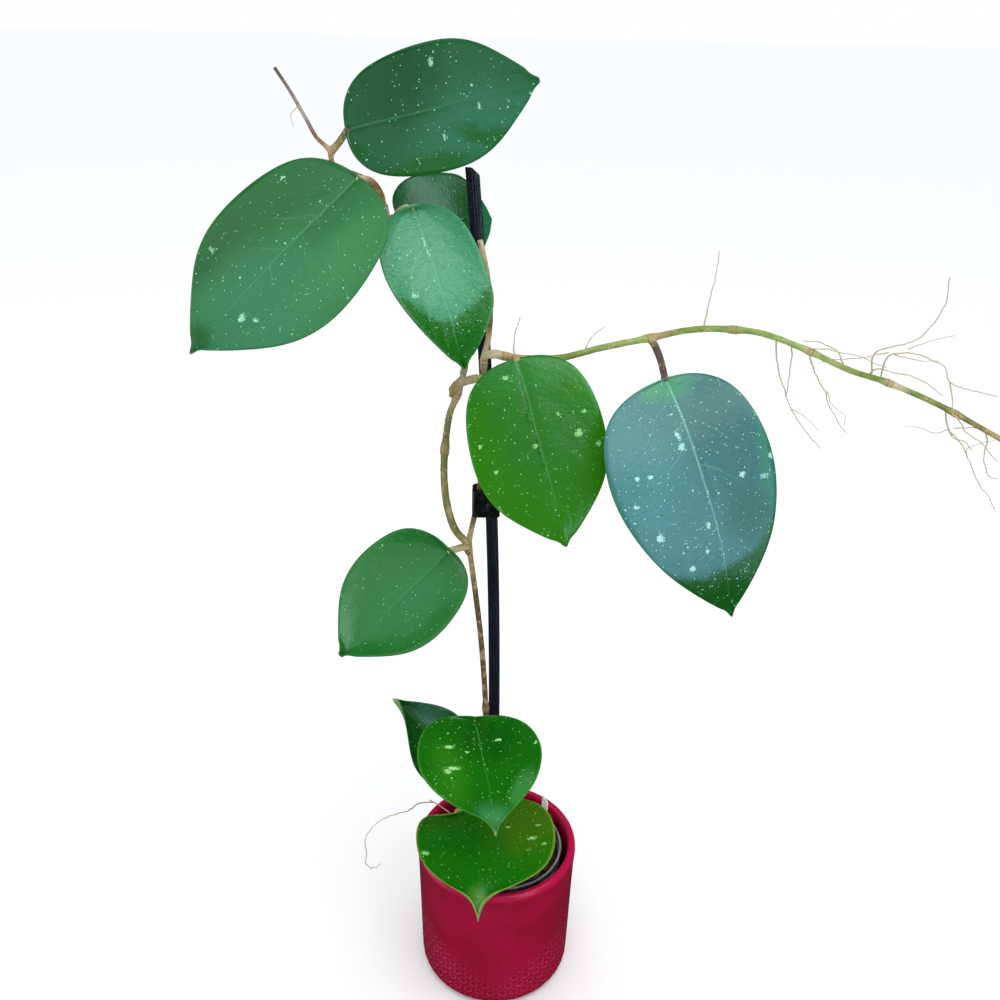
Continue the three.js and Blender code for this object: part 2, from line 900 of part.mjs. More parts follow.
const leafRoom = Object.values(LEAVES).map((leaf) => leafSolid(leaf, LEAF_GAP));
const stakeRoom = stakeSolid(GAP);
const mainRoom = stemWith(MAIN_STEM, MAIN_PETIOLES, [], GAP);
const mainStem = without(stemWith(MAIN_STEM, MAIN_PETIOLES), [...leafRoom, stakeRoom]);
addNode(plant, "main_stem", mainStem, FINISH.brownStem);

const shoot = without(stemWith(SHOOT, SHOOT_PETIOLES), [...leafRoom, stakeRoom, mainRoom]);
addNode(plant, "climbing_shoot", shoot, FINISH.oliveStem);

const runner = without(stemWith(RUNNER, RUNNER_PETIOLES, RUNNER_ROOTS), [...leafRoom, mainRoom]);
addNode(plant, "runner", runner, FINISH.greenStem);

addNode(plant, "cut_stem", stemWith(STUB, [], STUB_ROOTS), FINISH.cutStem);

// The right half of the stake's top is cut lower than the left.
const stakeTop = stakePoint(STAKE_TOP);
const stakeTopCut = block(
  [stakeTop.x + 0.5, stakeTop.y - STAKE_WIDTH, STAKE_TOP - STAKE_NOTCH],
  [stakeTop.x + STAKE_WIDTH, stakeTop.y + STAKE_WIDTH, STAKE_TOP + STAKE_NOTCH],
);
addNode(support, "plant_stake", stakeSolid().subtract(stakeTopCut), FINISH.blackPlastic);

const clipStud = revolve(
  [
    [0, -CLIP_STUD_REACH],
    [CLIP_STUD_RADIUS, -CLIP_STUD_REACH],
    [CLIP_STUD_RADIUS, CLIP_STUD_REACH - 1],
    [CLIP_STUD_RADIUS - 1, CLIP_STUD_REACH],
    [0, CLIP_STUD_REACH],
  ],
  16,
)
  .rotate([90, 0, 0])
  .translate(CLIP_STUD);
const clipCollar = sweep(
  [CLIP_BOTTOM, CLIP_TOP].map((z) => new THREE.Vector3(...CLIP_CENTRE, z)),
  () => roundedRectangle(CLIP_HALF, CLIP_CORNER),
  new THREE.Vector3(1, 0, 0),
);
addNode(support, "stem_clip", without(clipCollar.add(clipStud), [stakeRoom, mainRoom]), FINISH.clipPlastic);

addNode(support, "plant_label", labelSolid(), FINISH.label);

const mix = union([revolve(MIX_PROFILE, NURSERY_SEGMENTS, NURSERY_CENTRE), ...barkChips()]);
const stubRoom = stemWith(STUB, [], STUB_ROOTS, GAP);
const mixHoles = [stakeRoom, mainRoom, stubRoom, labelSolid(GAP)];
addNode(pots, "potting_mix", without(mix, mixHoles), FINISH.barkMix);

export default part;
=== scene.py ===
"""A potted climbing hoya, dressed over its solids.

Broad, thick leaves sit on stems that are trained up a plastic stake. The stems grow from a clear
nursery pot of bark mix, and that stands inside a glazed cover pot. Lengths are written in
millimetres, as in the solids' source, and multiplied by MM where they become places. +Z is up, +X is
to the right and -Y is towards the front. The origin is the centre of the cover pot's foot.
"""

import logging
import math
from collections.abc import Callable
from dataclasses import dataclass
from enum import Enum

import bpy
import numpy as np
from mathutils import Matrix, Vector, noise


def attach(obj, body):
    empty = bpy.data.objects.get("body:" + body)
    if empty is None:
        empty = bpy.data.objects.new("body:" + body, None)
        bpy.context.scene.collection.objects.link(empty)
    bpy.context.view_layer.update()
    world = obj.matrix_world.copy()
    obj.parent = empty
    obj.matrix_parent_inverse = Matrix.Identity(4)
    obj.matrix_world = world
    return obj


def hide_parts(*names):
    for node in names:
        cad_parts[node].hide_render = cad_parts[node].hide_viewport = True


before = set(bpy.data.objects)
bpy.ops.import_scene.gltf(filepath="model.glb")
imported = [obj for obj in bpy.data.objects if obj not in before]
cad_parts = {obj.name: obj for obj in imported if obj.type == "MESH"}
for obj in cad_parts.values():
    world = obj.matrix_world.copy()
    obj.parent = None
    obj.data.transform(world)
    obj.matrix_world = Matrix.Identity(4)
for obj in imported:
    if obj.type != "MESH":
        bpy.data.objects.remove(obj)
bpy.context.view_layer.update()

LOG = logging.getLogger("potted_hoya")
MM = 0.001
ROUND = 2 * math.pi
BODY = "root"

# Waves for each metre in the bumps and kinks of stems and roots.
BROAD = 130
NARROW = 420
# How far the nearest joint counts as, in millimetres, on a stem without joints.
NO_JOINT = 99.0
# Points on each half of a leaf's outline.
OUTLINE_SAMPLES = 161

Triple = tuple[float, float, float]
Socket = bpy.types.NodeSocket
Value = Socket | float
Colour = Socket | Triple


class Slot(Enum):
    """Material slots of the record."""

    GLAZE = "crimson_glaze"
    NURSERY = "nursery_plastic"
    MIX = "bark_mix"
    STAKE = "stake_plastic"
    CLIP = "clip_rubber"
    LABEL = "label_plastic"
    BROWN_STEM = "brown_stem"
    OLIVE_STEM = "olive_stem"
    GREEN_STEM = "green_stem"
    ROOT = "pale_root"
    BLADE = "leaf_blade"


def tone(red: int, green: int, blue: int) -> Triple:
    """A colour as light, from its 0 to 255 values on a screen.

    Args:
        red, green, blue: the values on a screen.
    Returns:
        The linear red, green and blue.
    """
    shares = [v / 255 for v in (red, green, blue)]
    return tuple(s / 12.92 if s < 0.04045 else ((s + 0.055) / 1.055) ** 2.4 for s in shares)


class Tint(Enum):
    """Colours along the stems and roots."""

    BROWN = tone(104, 76, 42)
    RUST = tone(136, 80, 38)
    TAN = tone(176, 150, 100)
    CREAM = tone(202, 192, 156)
    GREY = tone(158, 151, 144)
    DARK = tone(84, 70, 56)
    OLIVE = tone(118, 118, 62)
    MOSS = tone(120, 142, 60)
    FRESH = tone(150, 176, 96)
    ROOT = tone(184, 172, 144)
    PINK = tone(196, 150, 128)


# ---------------------------------------------------------------- curves and small sums


def flat_spline(points: np.ndarray, shares: np.ndarray) -> tuple[np.ndarray, np.ndarray]:
    """Places on a uniform spline through the points, and its directions there.

    Args:
        points: one row for each point, with 2 or 3 columns.
        shares: places along the spline, from 0 to 1.
    Returns:
        The places and the directions, one row for each share.
    """
    last = len(points) - 1
    where = np.clip(shares, 0, 1) * last
    index = np.minimum(np.floor(where).astype(int), last)
    w = (where - index)[:, None]
    p0 = points[np.maximum(index - 1, 0)]
    p1 = points[index]
    p2 = points[np.minimum(index + 1, last)]
    p3 = points[np.minimum(index + 2, last)]
    v0, v1 = (p2 - p0) / 2, (p3 - p1) / 2
    a, b = 2 * p1 - 2 * p2 + v0 + v1, -3 * p1 + 3 * p2 - 2 * v0 - v1
    return a * w**3 + b * w**2 + v0 * w + p1, 3 * a * w**2 + 2 * b * w + v0


def route(points: list[Triple], step: float) -> np.ndarray:
    """A smooth way through the points, in even steps of about the given length.

    Args:
        points: the points that the way passes through.
        step: the wanted length of a step.
    Returns:
        The places along the way, one row each.
    """
    p = np.array(points, float)
    p = np.vstack([2 * p[0] - p[1], p, 2 * p[-1] - p[-2]])
    fine = []
    w = np.linspace(0, 1, 40, endpoint=False)[:, None]
    for a, b, c, d in zip(p, p[1:], p[2:], p[3:]):
        t0, t1, t2 = (math.sqrt(np.linalg.norm(v)) or 1.0 for v in (b - a, c - b, d - c))
        m1 = ((b - a) / t0 - (c - a) / (t0 + t1) + (c - b) / t1) * t1
        m2 = ((c - b) / t1 - (d - b) / (t1 + t2) + (d - c) / t2) * t1
        fine.append((2 * b - 2 * c + m1 + m2) * w**3 + (-3 * b + 3 * c - 2 * m1 - m2) * w**2 + m1 * w + b)
    fine = np.vstack([*fine, p[-2:-1]])
    run = np.concatenate([[0], np.cumsum(np.linalg.norm(np.diff(fine, axis=0), axis=1))])
    count = max(3, round(run[-1] / step) + 1)
    return np.column_stack([np.interp(np.linspace(0, run[-1], count), run, fine[:, k]) for k in range(3)])


def rise(value: np.ndarray | float, low: float, high: float) -> np.ndarray:
    """0 below low, 1 above high and a smooth slope between them; falls where low is above high."""
    t = np.clip((np.asarray(value, float) - low) / (high - low), 0, 1)
    return t * t * (3 - 2 * t)


def hump(value: np.ndarray, width: float) -> np.ndarray:
    """A bell of height 1 about 0."""
    return np.exp(-((value / width) ** 2))


def rough(points: np.ndarray, scale: float, seed: float = 0.0) -> np.ndarray:
    """Smooth noise from -1 to 1 at each point.

    Args:
        points: places in metres, one row each.
        scale: waves for each metre.
        seed: moves the pattern.
    Returns:
        One value for each point.
    """
    return np.array([noise.noise(Vector(p * scale) + Vector((seed, 2 * seed, 3 * seed))) for p in points])


# ---------------------------------------------------------------- meshes


def only(piece: bpy.types.Object) -> bpy.types.Object:
    """Selects one piece alone and makes it the active one.

    Args:
        piece: the piece.
    Returns:
        The same piece.
    """
    if bpy.context.mode != "OBJECT":
        bpy.ops.object.mode_set(mode="OBJECT")
    bpy.ops.object.select_all(action="DESELECT")
    piece.select_set(True)
    bpy.context.view_layer.objects.active = piece
    return piece


def added(name: str) -> bpy.types.Object:
    """The primitive that was added last, under its own name.

    Args:
        name: the name that it gets.
    Returns:
        The piece, selected alone.
    """
    piece = bpy.context.active_object
    piece.name = piece.data.name = name
    return only(piece)


def vertices_of(piece: bpy.types.Object) -> np.ndarray:
    """The places of a piece's vertices.

    Args:
        piece: the piece.
    Returns:
        The places in metres, one row each.
    """
    flat = np.empty(len(piece.data.vertices) * 3, np.float32)
    piece.data.vertices.foreach_get("co", flat)
    return flat.reshape(-1, 3).astype(float)


def place_vertices(piece: bpy.types.Object, places: np.ndarray) -> None:
    """Moves each vertex of a piece to its row of places."""
    piece.data.vertices.foreach_set("co", places.astype(np.float32).ravel())
    piece.data.update()


def note(piece: bpy.types.Object, name: str, rows: np.ndarray) -> None:
    """Keeps three numbers for each vertex, for the piece's finish to read."""
    layer = piece.data.attributes.new(name, "FLOAT_VECTOR", "POINT")
    layer.data.foreach_set("vector", rows.astype(np.float32).ravel())


def numbers(items: bpy.types.bpy_prop_collection, name: str) -> np.ndarray:
    """One whole number of each face or corner.

    Args:
        items: the faces or corners.
        name: the number's name.
    Returns:
        The numbers.
    """
    found = np.empty(len(items), int)
    items.foreach_get(name, found)
    return found


def with_modifier(piece: bpy.types.Object, kind: str, **settings: object) -> None:
    """Adds a modifier and applies it.

    Args:
        piece: the piece that gets it.
        kind: the modifier's type.
        settings: its settings.
    """
    only(piece)
    modifier = piece.modifiers.new(kind.lower(), kind)
    for key, value in settings.items():
        setattr(modifier, key, value)
    bpy.ops.object.modifier_apply(modifier=modifier.name)


def edit_all(piece: bpy.types.Object, step: Callable[[], object]) -> None:
    """Runs a mesh operator over the whole of a piece.

    Args:
        piece: the piece.
        step: calls the operator.
    """
    only(piece)
    bpy.ops.object.mode_set(mode="EDIT")
    bpy.ops.mesh.select_all(action="SELECT")
    step()
    bpy.ops.object.mode_set(mode="OBJECT")


def edit_edges(piece: bpy.types.Object, chosen: np.ndarray, step: Callable[[], object]) -> None:
    """Runs a mesh operator over some of a piece's edges.

    Args:
        piece: the piece.
        chosen: true for each edge that takes part.
        step: calls the operator.
    """
    only(piece)
    bpy.ops.object.mode_set(mode="EDIT")
    bpy.ops.mesh.select_mode(type="EDGE")
    bpy.ops.mesh.select_all(action="DESELECT")
    bpy.ops.object.mode_set(mode="OBJECT")
    piece.data.edges.foreach_set("select", chosen)
    bpy.ops.object.mode_set(mode="EDIT")
    step()
    bpy.ops.object.mode_set(mode="OBJECT")


def merge_close(piece: bpy.types.Object, distance: float) -> None:
    """Merges the vertices that lie on each other."""
    edit_all(piece, lambda: bpy.ops.mesh.remove_doubles(threshold=distance))


def turned_out(piece: bpy.types.Object) -> None:
    """Turns every face of a closed piece outwards."""
    edit_all(piece, lambda: bpy.ops.mesh.normals_make_consistent(inside=False))


def smooth(piece: bpy.types.Object, degrees: float = 180.0) -> None:
    """Shades a piece smoothly.

    Args:
        piece: the piece.
        degrees: edges sharper than this stay sharp.
    """
    only(piece)
    if degrees >= 180:
        bpy.ops.object.shade_smooth()
    else:
        bpy.ops.object.shade_smooth_by_angle(angle=math.radians(degrees))


def ringed_cylinder(
    name: str, sides: int, rings: int
) -> tuple[bpy.types.Object, np.ndarray, np.ndarray, np.ndarray]:
    """A cylinder with its wall cut into rings, to be laid along a way.

    Args:
        name: the piece's name.
        sides: steps round the axis.
        rings: rings of vertices, with both ends.
    Returns:
        The piece, and for each vertex its ring, its angle, and whether it is the middle of an end.
    """
    bpy.ops.mesh.primitive_cylinder_add(vertices=sides, radius=1, depth=1, end_fill_type="TRIFAN")
    piece = added(name)
    ends = np.array([e.vertices[:] for e in piece.data.edges])
    height = vertices_of(piece)[:, 2]
    upright = np.abs(height[ends[:, 0]] - height[ends[:, 1]]) > 0.5
    cut = {"number_cuts": rings - 2, "interpolation": "LINEAR", "smoothness": 0}
    edit_edges(piece, upright, lambda: bpy.ops.mesh.subdivide_edgering(**cut))
    at = vertices_of(piece)
    ring = np.rint((at[:, 2] + 0.5) * (rings - 1)).astype(int)
    return piece, ring, np.arctan2(at[:, 1], at[:, 0]), np.hypot(at[:, 0], at[:, 1]) < 0.5


def round_rim(piece: bpy.types.Object, rim: int, width: float) -> None:
    """Rounds both edges of a sheet's rim, and gives the rim the upper face's finish.

    Args:
        piece: the sheet, with its rim in a material slot of its own.
        rim: the number of that slot.
        width: how far the rounding reaches.
    """
    mesh = piece.data
    edges, count = numbers(mesh.loops, "edge_index"), len(mesh.edges)
    on_rim = np.repeat(numbers(mesh.polygons, "material_index") == rim, numbers(mesh.polygons, "loop_total"))
    of_rim = np.bincount(edges[on_rim], minlength=count) > 0
    of_face = np.bincount(edges[~on_rim], minlength=count) > 0
    rounding = {"offset": width, "segments": 3, "affect": "EDGES", "clamp_overlap": True}
    edit_edges(piece, of_rim & of_face, lambda: bpy.ops.mesh.bevel(**rounding))
    slots = numbers(mesh.polygons, "material_index")
    mesh.polygons.foreach_set("material_index", np.where(slots == rim, 0, slots))
    mesh.materials.pop(index=rim)


def joined(name: str, parts: list[bpy.types.Object]) -> bpy.types.Object:
    """Joins finished parts into one piece.

    Args:
        name: the piece's name.
        parts: the parts.
    Returns:
        The piece.
    """
    only(parts[0])
    for part in parts[1:]:
        part.select_set(True)
    bpy.ops.object.join()
    return added(name)


def finished(piece: bpy.types.Object, slot: Slot, *nodes: str) -> bpy.types.Object:
    """Lets a piece ride on the plant's body and stand for its solids.

    Args:
        piece: the finished piece.
        slot: the material slot of the record; not used.
        nodes: the solids that it stands for.
    Returns:
        The same piece.
    """
    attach(piece, BODY)
    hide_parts(*nodes)
    LOG.info("%s: %d faces, stands for %s", piece.name, len(piece.data.polygons), ", ".join(nodes))
    return piece


def copy_of_solid(node: str, name: str) -> bpy.types.Object:
    """A copy of a solid with its vertices merged, as the start of a finer piece.

    Args:
        node: the solid's name.
        name: the piece's name.
    Returns:
        The piece.
    """
    piece = bpy.data.objects.new(name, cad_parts[node].data.copy())
    piece.data.name = name
    piece.data.materials.clear()
    bpy.context.scene.collection.objects.link(piece)
    merge_close(piece, 0.002 * MM)
    return piece


def ease_edges(piece: bpy.types.Object, width: float) -> None:
    """Rounds a piece's sharp edges.

    Args:
        piece: the piece.
        width: how far the rounding reaches, in millimetres.
    """
    limit = math.radians(50)
    with_modifier(piece, "BEVEL", width=width * MM, segments=2, limit_method="ANGLE", angle_limit=limit)
    smooth(piece, 40)


def lathe(name: str, profile: np.ndarray, segments: int, centre: tuple[float, float]) -> bpy.types.Object:
    """A closed body of revolution, shaped from a sphere ring by ring.

    Args:
        name: the piece's name.
        profile: rows of radius and height in millimetres, from one pole to the other, outside first.
        segments: steps round the axis.
        centre: where the axis stands, in millimetres.
    Returns:
        The piece.
    """
    rings = len(profile) - 1
    bpy.ops.mesh.primitive_uv_sphere_add(segments=segments, ring_count=rings, radius=1)
    piece = added(name)
    at = vertices_of(piece)
    ring = np.rint(np.arccos(np.clip(-at[:, 2], -1, 1)) / math.pi * rings).astype(int)
    angle = np.arctan2(at[:, 1], at[:, 0])
    radius, height = profile[ring, 0], profile[ring, 1]
    x, y = centre[0] + radius * np.cos(angle), centre[1] + radius * np.sin(angle)
    place_vertices(piece, MM * np.column_stack([x, y, height]))
    return piece


def refined(profile: tuple[tuple[float, float], ...], step: float, soft: int = 0) -> np.ndarray:
    """A profile with its long stretches divided, and its corners eased.

    Args:
        profile: pairs of radius and height.
        step: the longest stretch wanted.
        soft: how many times the corners are cut.
    Returns:
        Rows of radius and height.
    """
    rows = np.array(profile, float)
    for _ in range(soft):
        near, far = 0.75 * rows[:-1] + 0.25 * rows[1:], 0.25 * rows[:-1] + 0.75 * rows[1:]
        cut = np.stack([near, far], axis=1).reshape(-1, 2)
        rows = np.vstack([rows[:1], cut[1:-1], rows[-1:]])
    out = [rows[0]]
    for a, b in zip(rows, rows[1:]):
        count = max(1, math.ceil(np.linalg.norm(b - a) / step))
        out += [a + (b - a) * k / count for k in range(1, count + 1)]
    return np.array(out)


@dataclass(frozen=True)
class Tube:
    """A round stem, petiole or root along a way, in millimetres.

    Attributes:
        points: the points that its middle line passes through.
        start, end: the radius at both ends.
        joints: where its joints are, as shares of its length.
        tints: its colours at shares of its length.
        step: the length between two rings.
        sides: steps round it.
        swelling, joint_length: how much thicker a joint is, and how far that reaches.
        flare, flare_length: how much thicker both ends are, and how far that reaches.
        bumps: how uneven it is, as a share of the radius.
        kink: how far its middle line strays.
        reach: how far both ends are moved out.
    """

    points: list[Triple]
    start: float
    end: float
    joints: tuple[float, ...] = ()
    tints: tuple[tuple[float, Tint], ...] = ((0.0, Tint.BROWN),)
    step: float = 1.4
    sides: int = 12
    swelling: float = 0.35
    joint_length: float = 4.5
    flare: tuple[float, float] = (0.0, 0.0)
    flare_length: float = 3.0
    bumps: float = 0.05
    kink: float = 0.0
    reach: tuple[float, float] = (0.0, 0.0)

    def way(self) -> np.ndarray:
        """The tube's middle line, with its ends moved out by its reach.

        Returns:
            The places along it, one row each.
        """
        path = route(self.points, self.step)
        for end, following, more in ((0, 1, self.reach[0]), (-1, -2, self.reach[1])):
            out = path[end] - path[following]
            path[end] = path[end] + out / np.linalg.norm(out) * more
        if self.kink:
            spots = path * MM
            shift = [rough(spots, BROAD, seed) + 0.5 * rough(spots, NARROW, seed) for seed in (1.5, 5.2, 9.1)]
            fade = rise(np.linspace(0, 1, len(path)), 0, 0.15)
            path = path + self.kink * fade[:, None] * np.column_stack(shift)
        return path

    @staticmethod
    def across(path: np.ndarray) -> tuple[np.ndarray, np.ndarray]:
        """Two directions square to the middle line and to each other, without a twist.

        Args:
            path: the middle line.
        Returns:
            Both directions, one row for each place.
        """
        along = np.gradient(path, axis=0)
        along /= np.linalg.norm(along, axis=1, keepdims=True)
        first = np.empty_like(path)
        side = np.array([0.6, -0.8, 0.1])
        for k, ahead in enumerate(along):
            side = side - side @ ahead * ahead
            side /= np.linalg.norm(side)
            first[k] = side
        return first, np.cross(along, first)

    def radii(self, run: np.ndarray, away: np.ndarray) -> np.ndarray:
        """The radius along the way.

        Args:
            run: the length of the way up to each ring.
            away: each ring's distance to the nearest joint.
        Returns:
            One radius for each ring.
        """
        radius = self.start + (self.end - self.start) * (run / run[-1])
        radius = radius * (1 + self.swelling * hump(away, self.joint_length))
        first, last = hump(run, self.flare_length), hump(run[-1] - run, self.flare_length)
        return radius * (1 + self.flare[0] * first + self.flare[1] * last)

    def build(self, name: str) -> bpy.types.Object:
        """Makes the tube from a cylinder that is cut into rings and laid along the way.

        Args:
            name: the part's name.
        Returns:
            The part, with its run, tint and joints noted at each vertex.
        """
        path = self.way()
        piece, ring, angle, hub = ringed_cylinder(name, self.sides, len(path))
        first, second = self.across(path)
        run = np.concatenate([[0], np.cumsum(np.linalg.norm(np.diff(path, axis=0), axis=1))])
        share = run / run[-1]
        away = np.full(len(path), NO_JOINT)
        for joint in self.joints:
            away = np.minimum(away, np.abs(share - joint) * run[-1])
        ridges = 0.05 * hump(away - 1.2, 0.5) + 0.05 * hump(away - 3.4, 0.5)
        out = np.column_stack([np.cos(angle), np.sin(angle), np.zeros(len(angle))])
        spots = path[ring] * MM + 0.002 * out
        uneven = 1 + ridges[ring] + self.bumps * rough(spots, NARROW) + self.bumps * rough(spots, BROAD)
        scale = np.where(hub, 0, self.radii(run, away)[ring] * uneven)[:, None]
        wall = path[ring] + scale * out[:, :1] * first[ring] + scale * out[:, 1:2] * second[ring]
        place_vertices(piece, MM * wall)

        stops = [stop for stop, _ in self.tints]
        colours = np.array([tint.value for _, tint in self.tints])
        tint = np.column_stack([np.interp(share, stops, colours[:, k]) for k in range(3)])
        note(piece, "tint", tint[ring])
        note(piece, "run", MM * np.column_stack([run[ring], 2 * np.cos(angle), away[ring]]))
        turned_out(piece)
        smooth(piece, 60)
        return piece


def root(points: list[Triple], start: float = 0.5, end: float = 0.22, **settings: object) -> Tube:
    """A fine aerial root.

    Args:
        points: the points that it passes through.
        start, end: its radius at both ends.
        settings: other fields of the tube.
    Returns:
        The root.
    """
    pale = ((0.0, Tint.ROOT), (0.5, Tint.CREAM), (1.0, Tint.GREY))
    given = {"tints": pale, "step": 2.0, "sides": 6, "bumps": 0.12, "kink": 0.8, **settings}
    return Tube(points, start, end, **given)


# ---------------------------------------------------------------- finishes


class Graph:
    """The shader nodes of one finish, or of the studio's surroundings."""

    def __init__(self, owner: bpy.types.Material | bpy.types.World) -> None:
        """Takes over an owner's nodes, which start with its one shader.

        Args:
            owner: the material or the surroundings.
        """
        self.owner = owner
        owner.use_nodes = True
        self.tree = owner.node_tree
        self.shader = next(n for n in self.tree.nodes if n.type in ("BSDF_PRINCIPLED", "BACKGROUND"))

    @classmethod
    def of_material(cls, name: str) -> "Graph":
        """The nodes of a new material."""
        return cls(bpy.data.materials.new(name))

    def put(self, value: object, socket: Socket) -> None:
        """Links or writes a value into a socket.

        Args:
            value: a socket to link, or what is written.
            socket: where it goes.
        """
        if isinstance(value, bpy.types.NodeSocket):
            self.tree.links.new(value, socket)
        elif isinstance(value, tuple) and socket.type == "RGBA":
            socket.default_value = (*value[:3], 1)
        else:
            socket.default_value = value

    def node(
        self, kind: str, inputs: dict[str | int, object] | None = None, **settings: object
    ) -> bpy.types.Node:
        """Adds a node.

        Args:
            kind: the node's type, without its prefix.
            inputs: values or sockets for its inputs, by name or number.
            settings: its own settings.
        Returns:
            The node.
        """
        made = self.tree.nodes.new("ShaderNode" + kind)
        for key, value in settings.items():
            setattr(made, key, value)
        for key, value in (inputs or {}).items():
            self.put(value, made.inputs[key])
        return made

    def sum(self, operation: str, *values: Value) -> Socket:
        """One step of arithmetic."""
        return self.node("Math", dict(enumerate(values)), operation=operation).outputs[0]

    def times(self, first: Value, *others: Value) -> Socket:
        """The product of two or more values.

        Args:
            first, others: the values.
        Returns:
            The product.
        """
        for other in others:
            first = self.sum("MULTIPLY", first, other)
        return first

    def plus(self, first: Value, second: Value) -> Socket:
        """Two values together."""
        return self.sum("ADD", first, second)

    def minus(self, first: Value, second: Value) -> Socket:
        """A value less another."""
        return self.sum("SUBTRACT", first, second)

    def line(self, value: Value, factor: Value, more: Value) -> Socket:
        """A value times a factor, and then more."""
        return self.sum("MULTIPLY_ADD", value, factor, more)

    def most(self, first: Value, second: Value) -> Socket:
        """The larger of two values."""
        return self.sum("MAXIMUM", first, second)

    def size(self, value: Value) -> Socket:
        """A value without its sign."""
        return self.sum("ABSOLUTE", value)

    def passes(self, value: Value, bar: Value) -> Socket:
        """1 where a value is above the bar, and 0 elsewhere."""
        return self.sum("GREATER_THAN", value, bar)

    def ramp(self, value: Value, low: float, high: float) -> Socket:
        """0 at low, 1 at high and a smooth slope between them."""
        inputs = {"Value": value, "From Min": low, "From Max": high}
        return self.node("MapRange", inputs, interpolation_type="SMOOTHSTEP").outputs["Result"]

    def scaled(self, value: Value, low: float, high: float) -> Socket:
        """A share of 0 to 1 spread evenly from low to high."""
        return self.node("MapRange", {"Value": value, "To Min": low, "To Max": high}).outputs["Result"]

    def mix(self, share: Value, first: Colour, second: Colour) -> Socket:
        """A colour between two."""
        return self.node("Mix", {0: share, 6: first, 7: second}, data_type="RGBA").outputs[2]

    def over(self, colour: Colour, top: Colour, cover: Value, strength: float) -> Socket:
        """A colour with another one on top, which hides it by the cover times the strength."""
        return self.mix(self.times(cover, strength), colour, top)

    def noise(self, place: Socket, scale: float, detail: float = 2.0, roughness: float = 0.5) -> Socket:
        """Cloudy noise from 0 to 1, with scale in waves for each metre."""
        inputs = {"Vector": place, "Scale": scale, "Detail": detail, "Roughness": roughness}
        return self.node("TexNoise", inputs).outputs[0]

    def cells(self, place: Socket, scale: float) -> tuple[Socket, Socket, Socket]:
        """Scattered points.

        Args:
            place: where it is looked up.
            scale: points for each metre.
        Returns:
            The distance to the nearest point, as a share of their spacing, and two draws of its own.
        """
        made = self.node("TexVoronoi", {"Vector": place, "Scale": scale})
        first, second, _ = self.split(made.outputs["Color"])
        return made.outputs["Distance"], first, second

    def noted(self, name: str) -> Socket:
        """What was noted at the vertices under a name."""
        return self.node("Attribute", attribute_name=name).outputs["Vector"]

    def here(self) -> Socket:
        """The place in the part's frame."""
        return self.node("TexCoord").outputs["Object"]

    def split(self, vector: Socket) -> tuple[Socket, Socket, Socket]:
        """The three numbers of a vector."""
        made = self.node("SeparateXYZ", {0: vector})
        return made.outputs[0], made.outputs[1], made.outputs[2]

    def vector(self, x: Value, y: Value, z: Value) -> Socket:
        """A vector of three numbers."""
        return self.node("CombineXYZ", {0: x, 1: y, 2: z}).outputs[0]

    def vectors(self, operation: str, *values: Socket | Triple) -> Socket:
        """One step of arithmetic with vectors."""
        return self.node("VectorMath", dict(enumerate(values)), operation=operation).outputs[0]

    def stretched(self, vector: Socket, factors: Triple) -> Socket:
        """A vector with each number multiplied by its own factor."""
        return self.vectors("MULTIPLY", vector, factors)

    def shaken(self, vector: Socket, scale: float, amount: float) -> Socket:
        """A vector moved about by noise.

        Args:
            vector: the vector.
            scale: waves of the noise for each metre.
            amount: twice the furthest move, in metres.
        Returns:
            The moved vector.
        """
        moved = self.node("TexNoise", {"Vector": vector, "Scale": scale, "Detail": 2.0}).outputs["Color"]
        centred = self.vectors("SUBTRACT", moved, (0.5, 0.5, 0.5))
        return self.vectors("MULTIPLY_ADD", centred, (amount, amount, amount), vector)

    def relief(
        self, height: Socket, distance: float, strength: float = 1.0, below: Socket | None = None
    ) -> Socket:
        """A surface direction with relief laid on it.

        Args:
            height: the relief, from 0 to 1.
            distance: how high 1 is, in metres.
            strength: how strongly it shows.
            below: the surface direction that it is laid on.
        Returns:
            The surface direction.
        """
        made = self.node("Bump", {"Strength": strength, "Distance": distance, "Height": height})
        if below is not None:
            self.put(below, made.inputs["Normal"])
        return made.outputs[0]

    def finish(self, **sockets: object) -> bpy.types.Material:
        """Fills the shader's sockets, named with underscores for spaces.

        Args:
            sockets: the value of each.
        Returns:
            The material.
        """
        for key, value in sockets.items():
            self.put(value, self.shader.inputs[key.replace("_", " ")])
        return self.owner


VEINS = 5.5
VEIN_LEAN = (0.20, 0.20)
VEIN_WOBBLE = 0.010


@dataclass(frozen=True)
class Patch:
    """An ellipse on a blade: its middle across and along, and its half sizes, in millimetres."""

    across: float
    along: float
    half_wide: float
    half_long: float

    def distance(self, g: Graph, place: Socket, lean: float = 0.0) -> Socket:
        """How far out a place lies, where 1 is on the ellipse.

        Args:
            g: the finish's nodes.
            place: the place on the blade.
            lean: the turn of the ellipse in degrees.
        Returns:
            The distance.
        """
        gone = g.vectors("SUBTRACT", place, (self.across * MM, self.along * MM, 0.0))
        if lean:
            inputs = {"Vector": gone, "Angle": math.radians(lean)}
            gone = g.node("VectorRotate", inputs, rotation_type="Z_AXIS").outputs[0]
        gone = g.stretched(gone, (1 / (self.half_wide * MM), 1 / (self.half_long * MM), 0.0))
        return g.node("VectorMath", {0: gone}, operation="LENGTH").outputs["Value"]


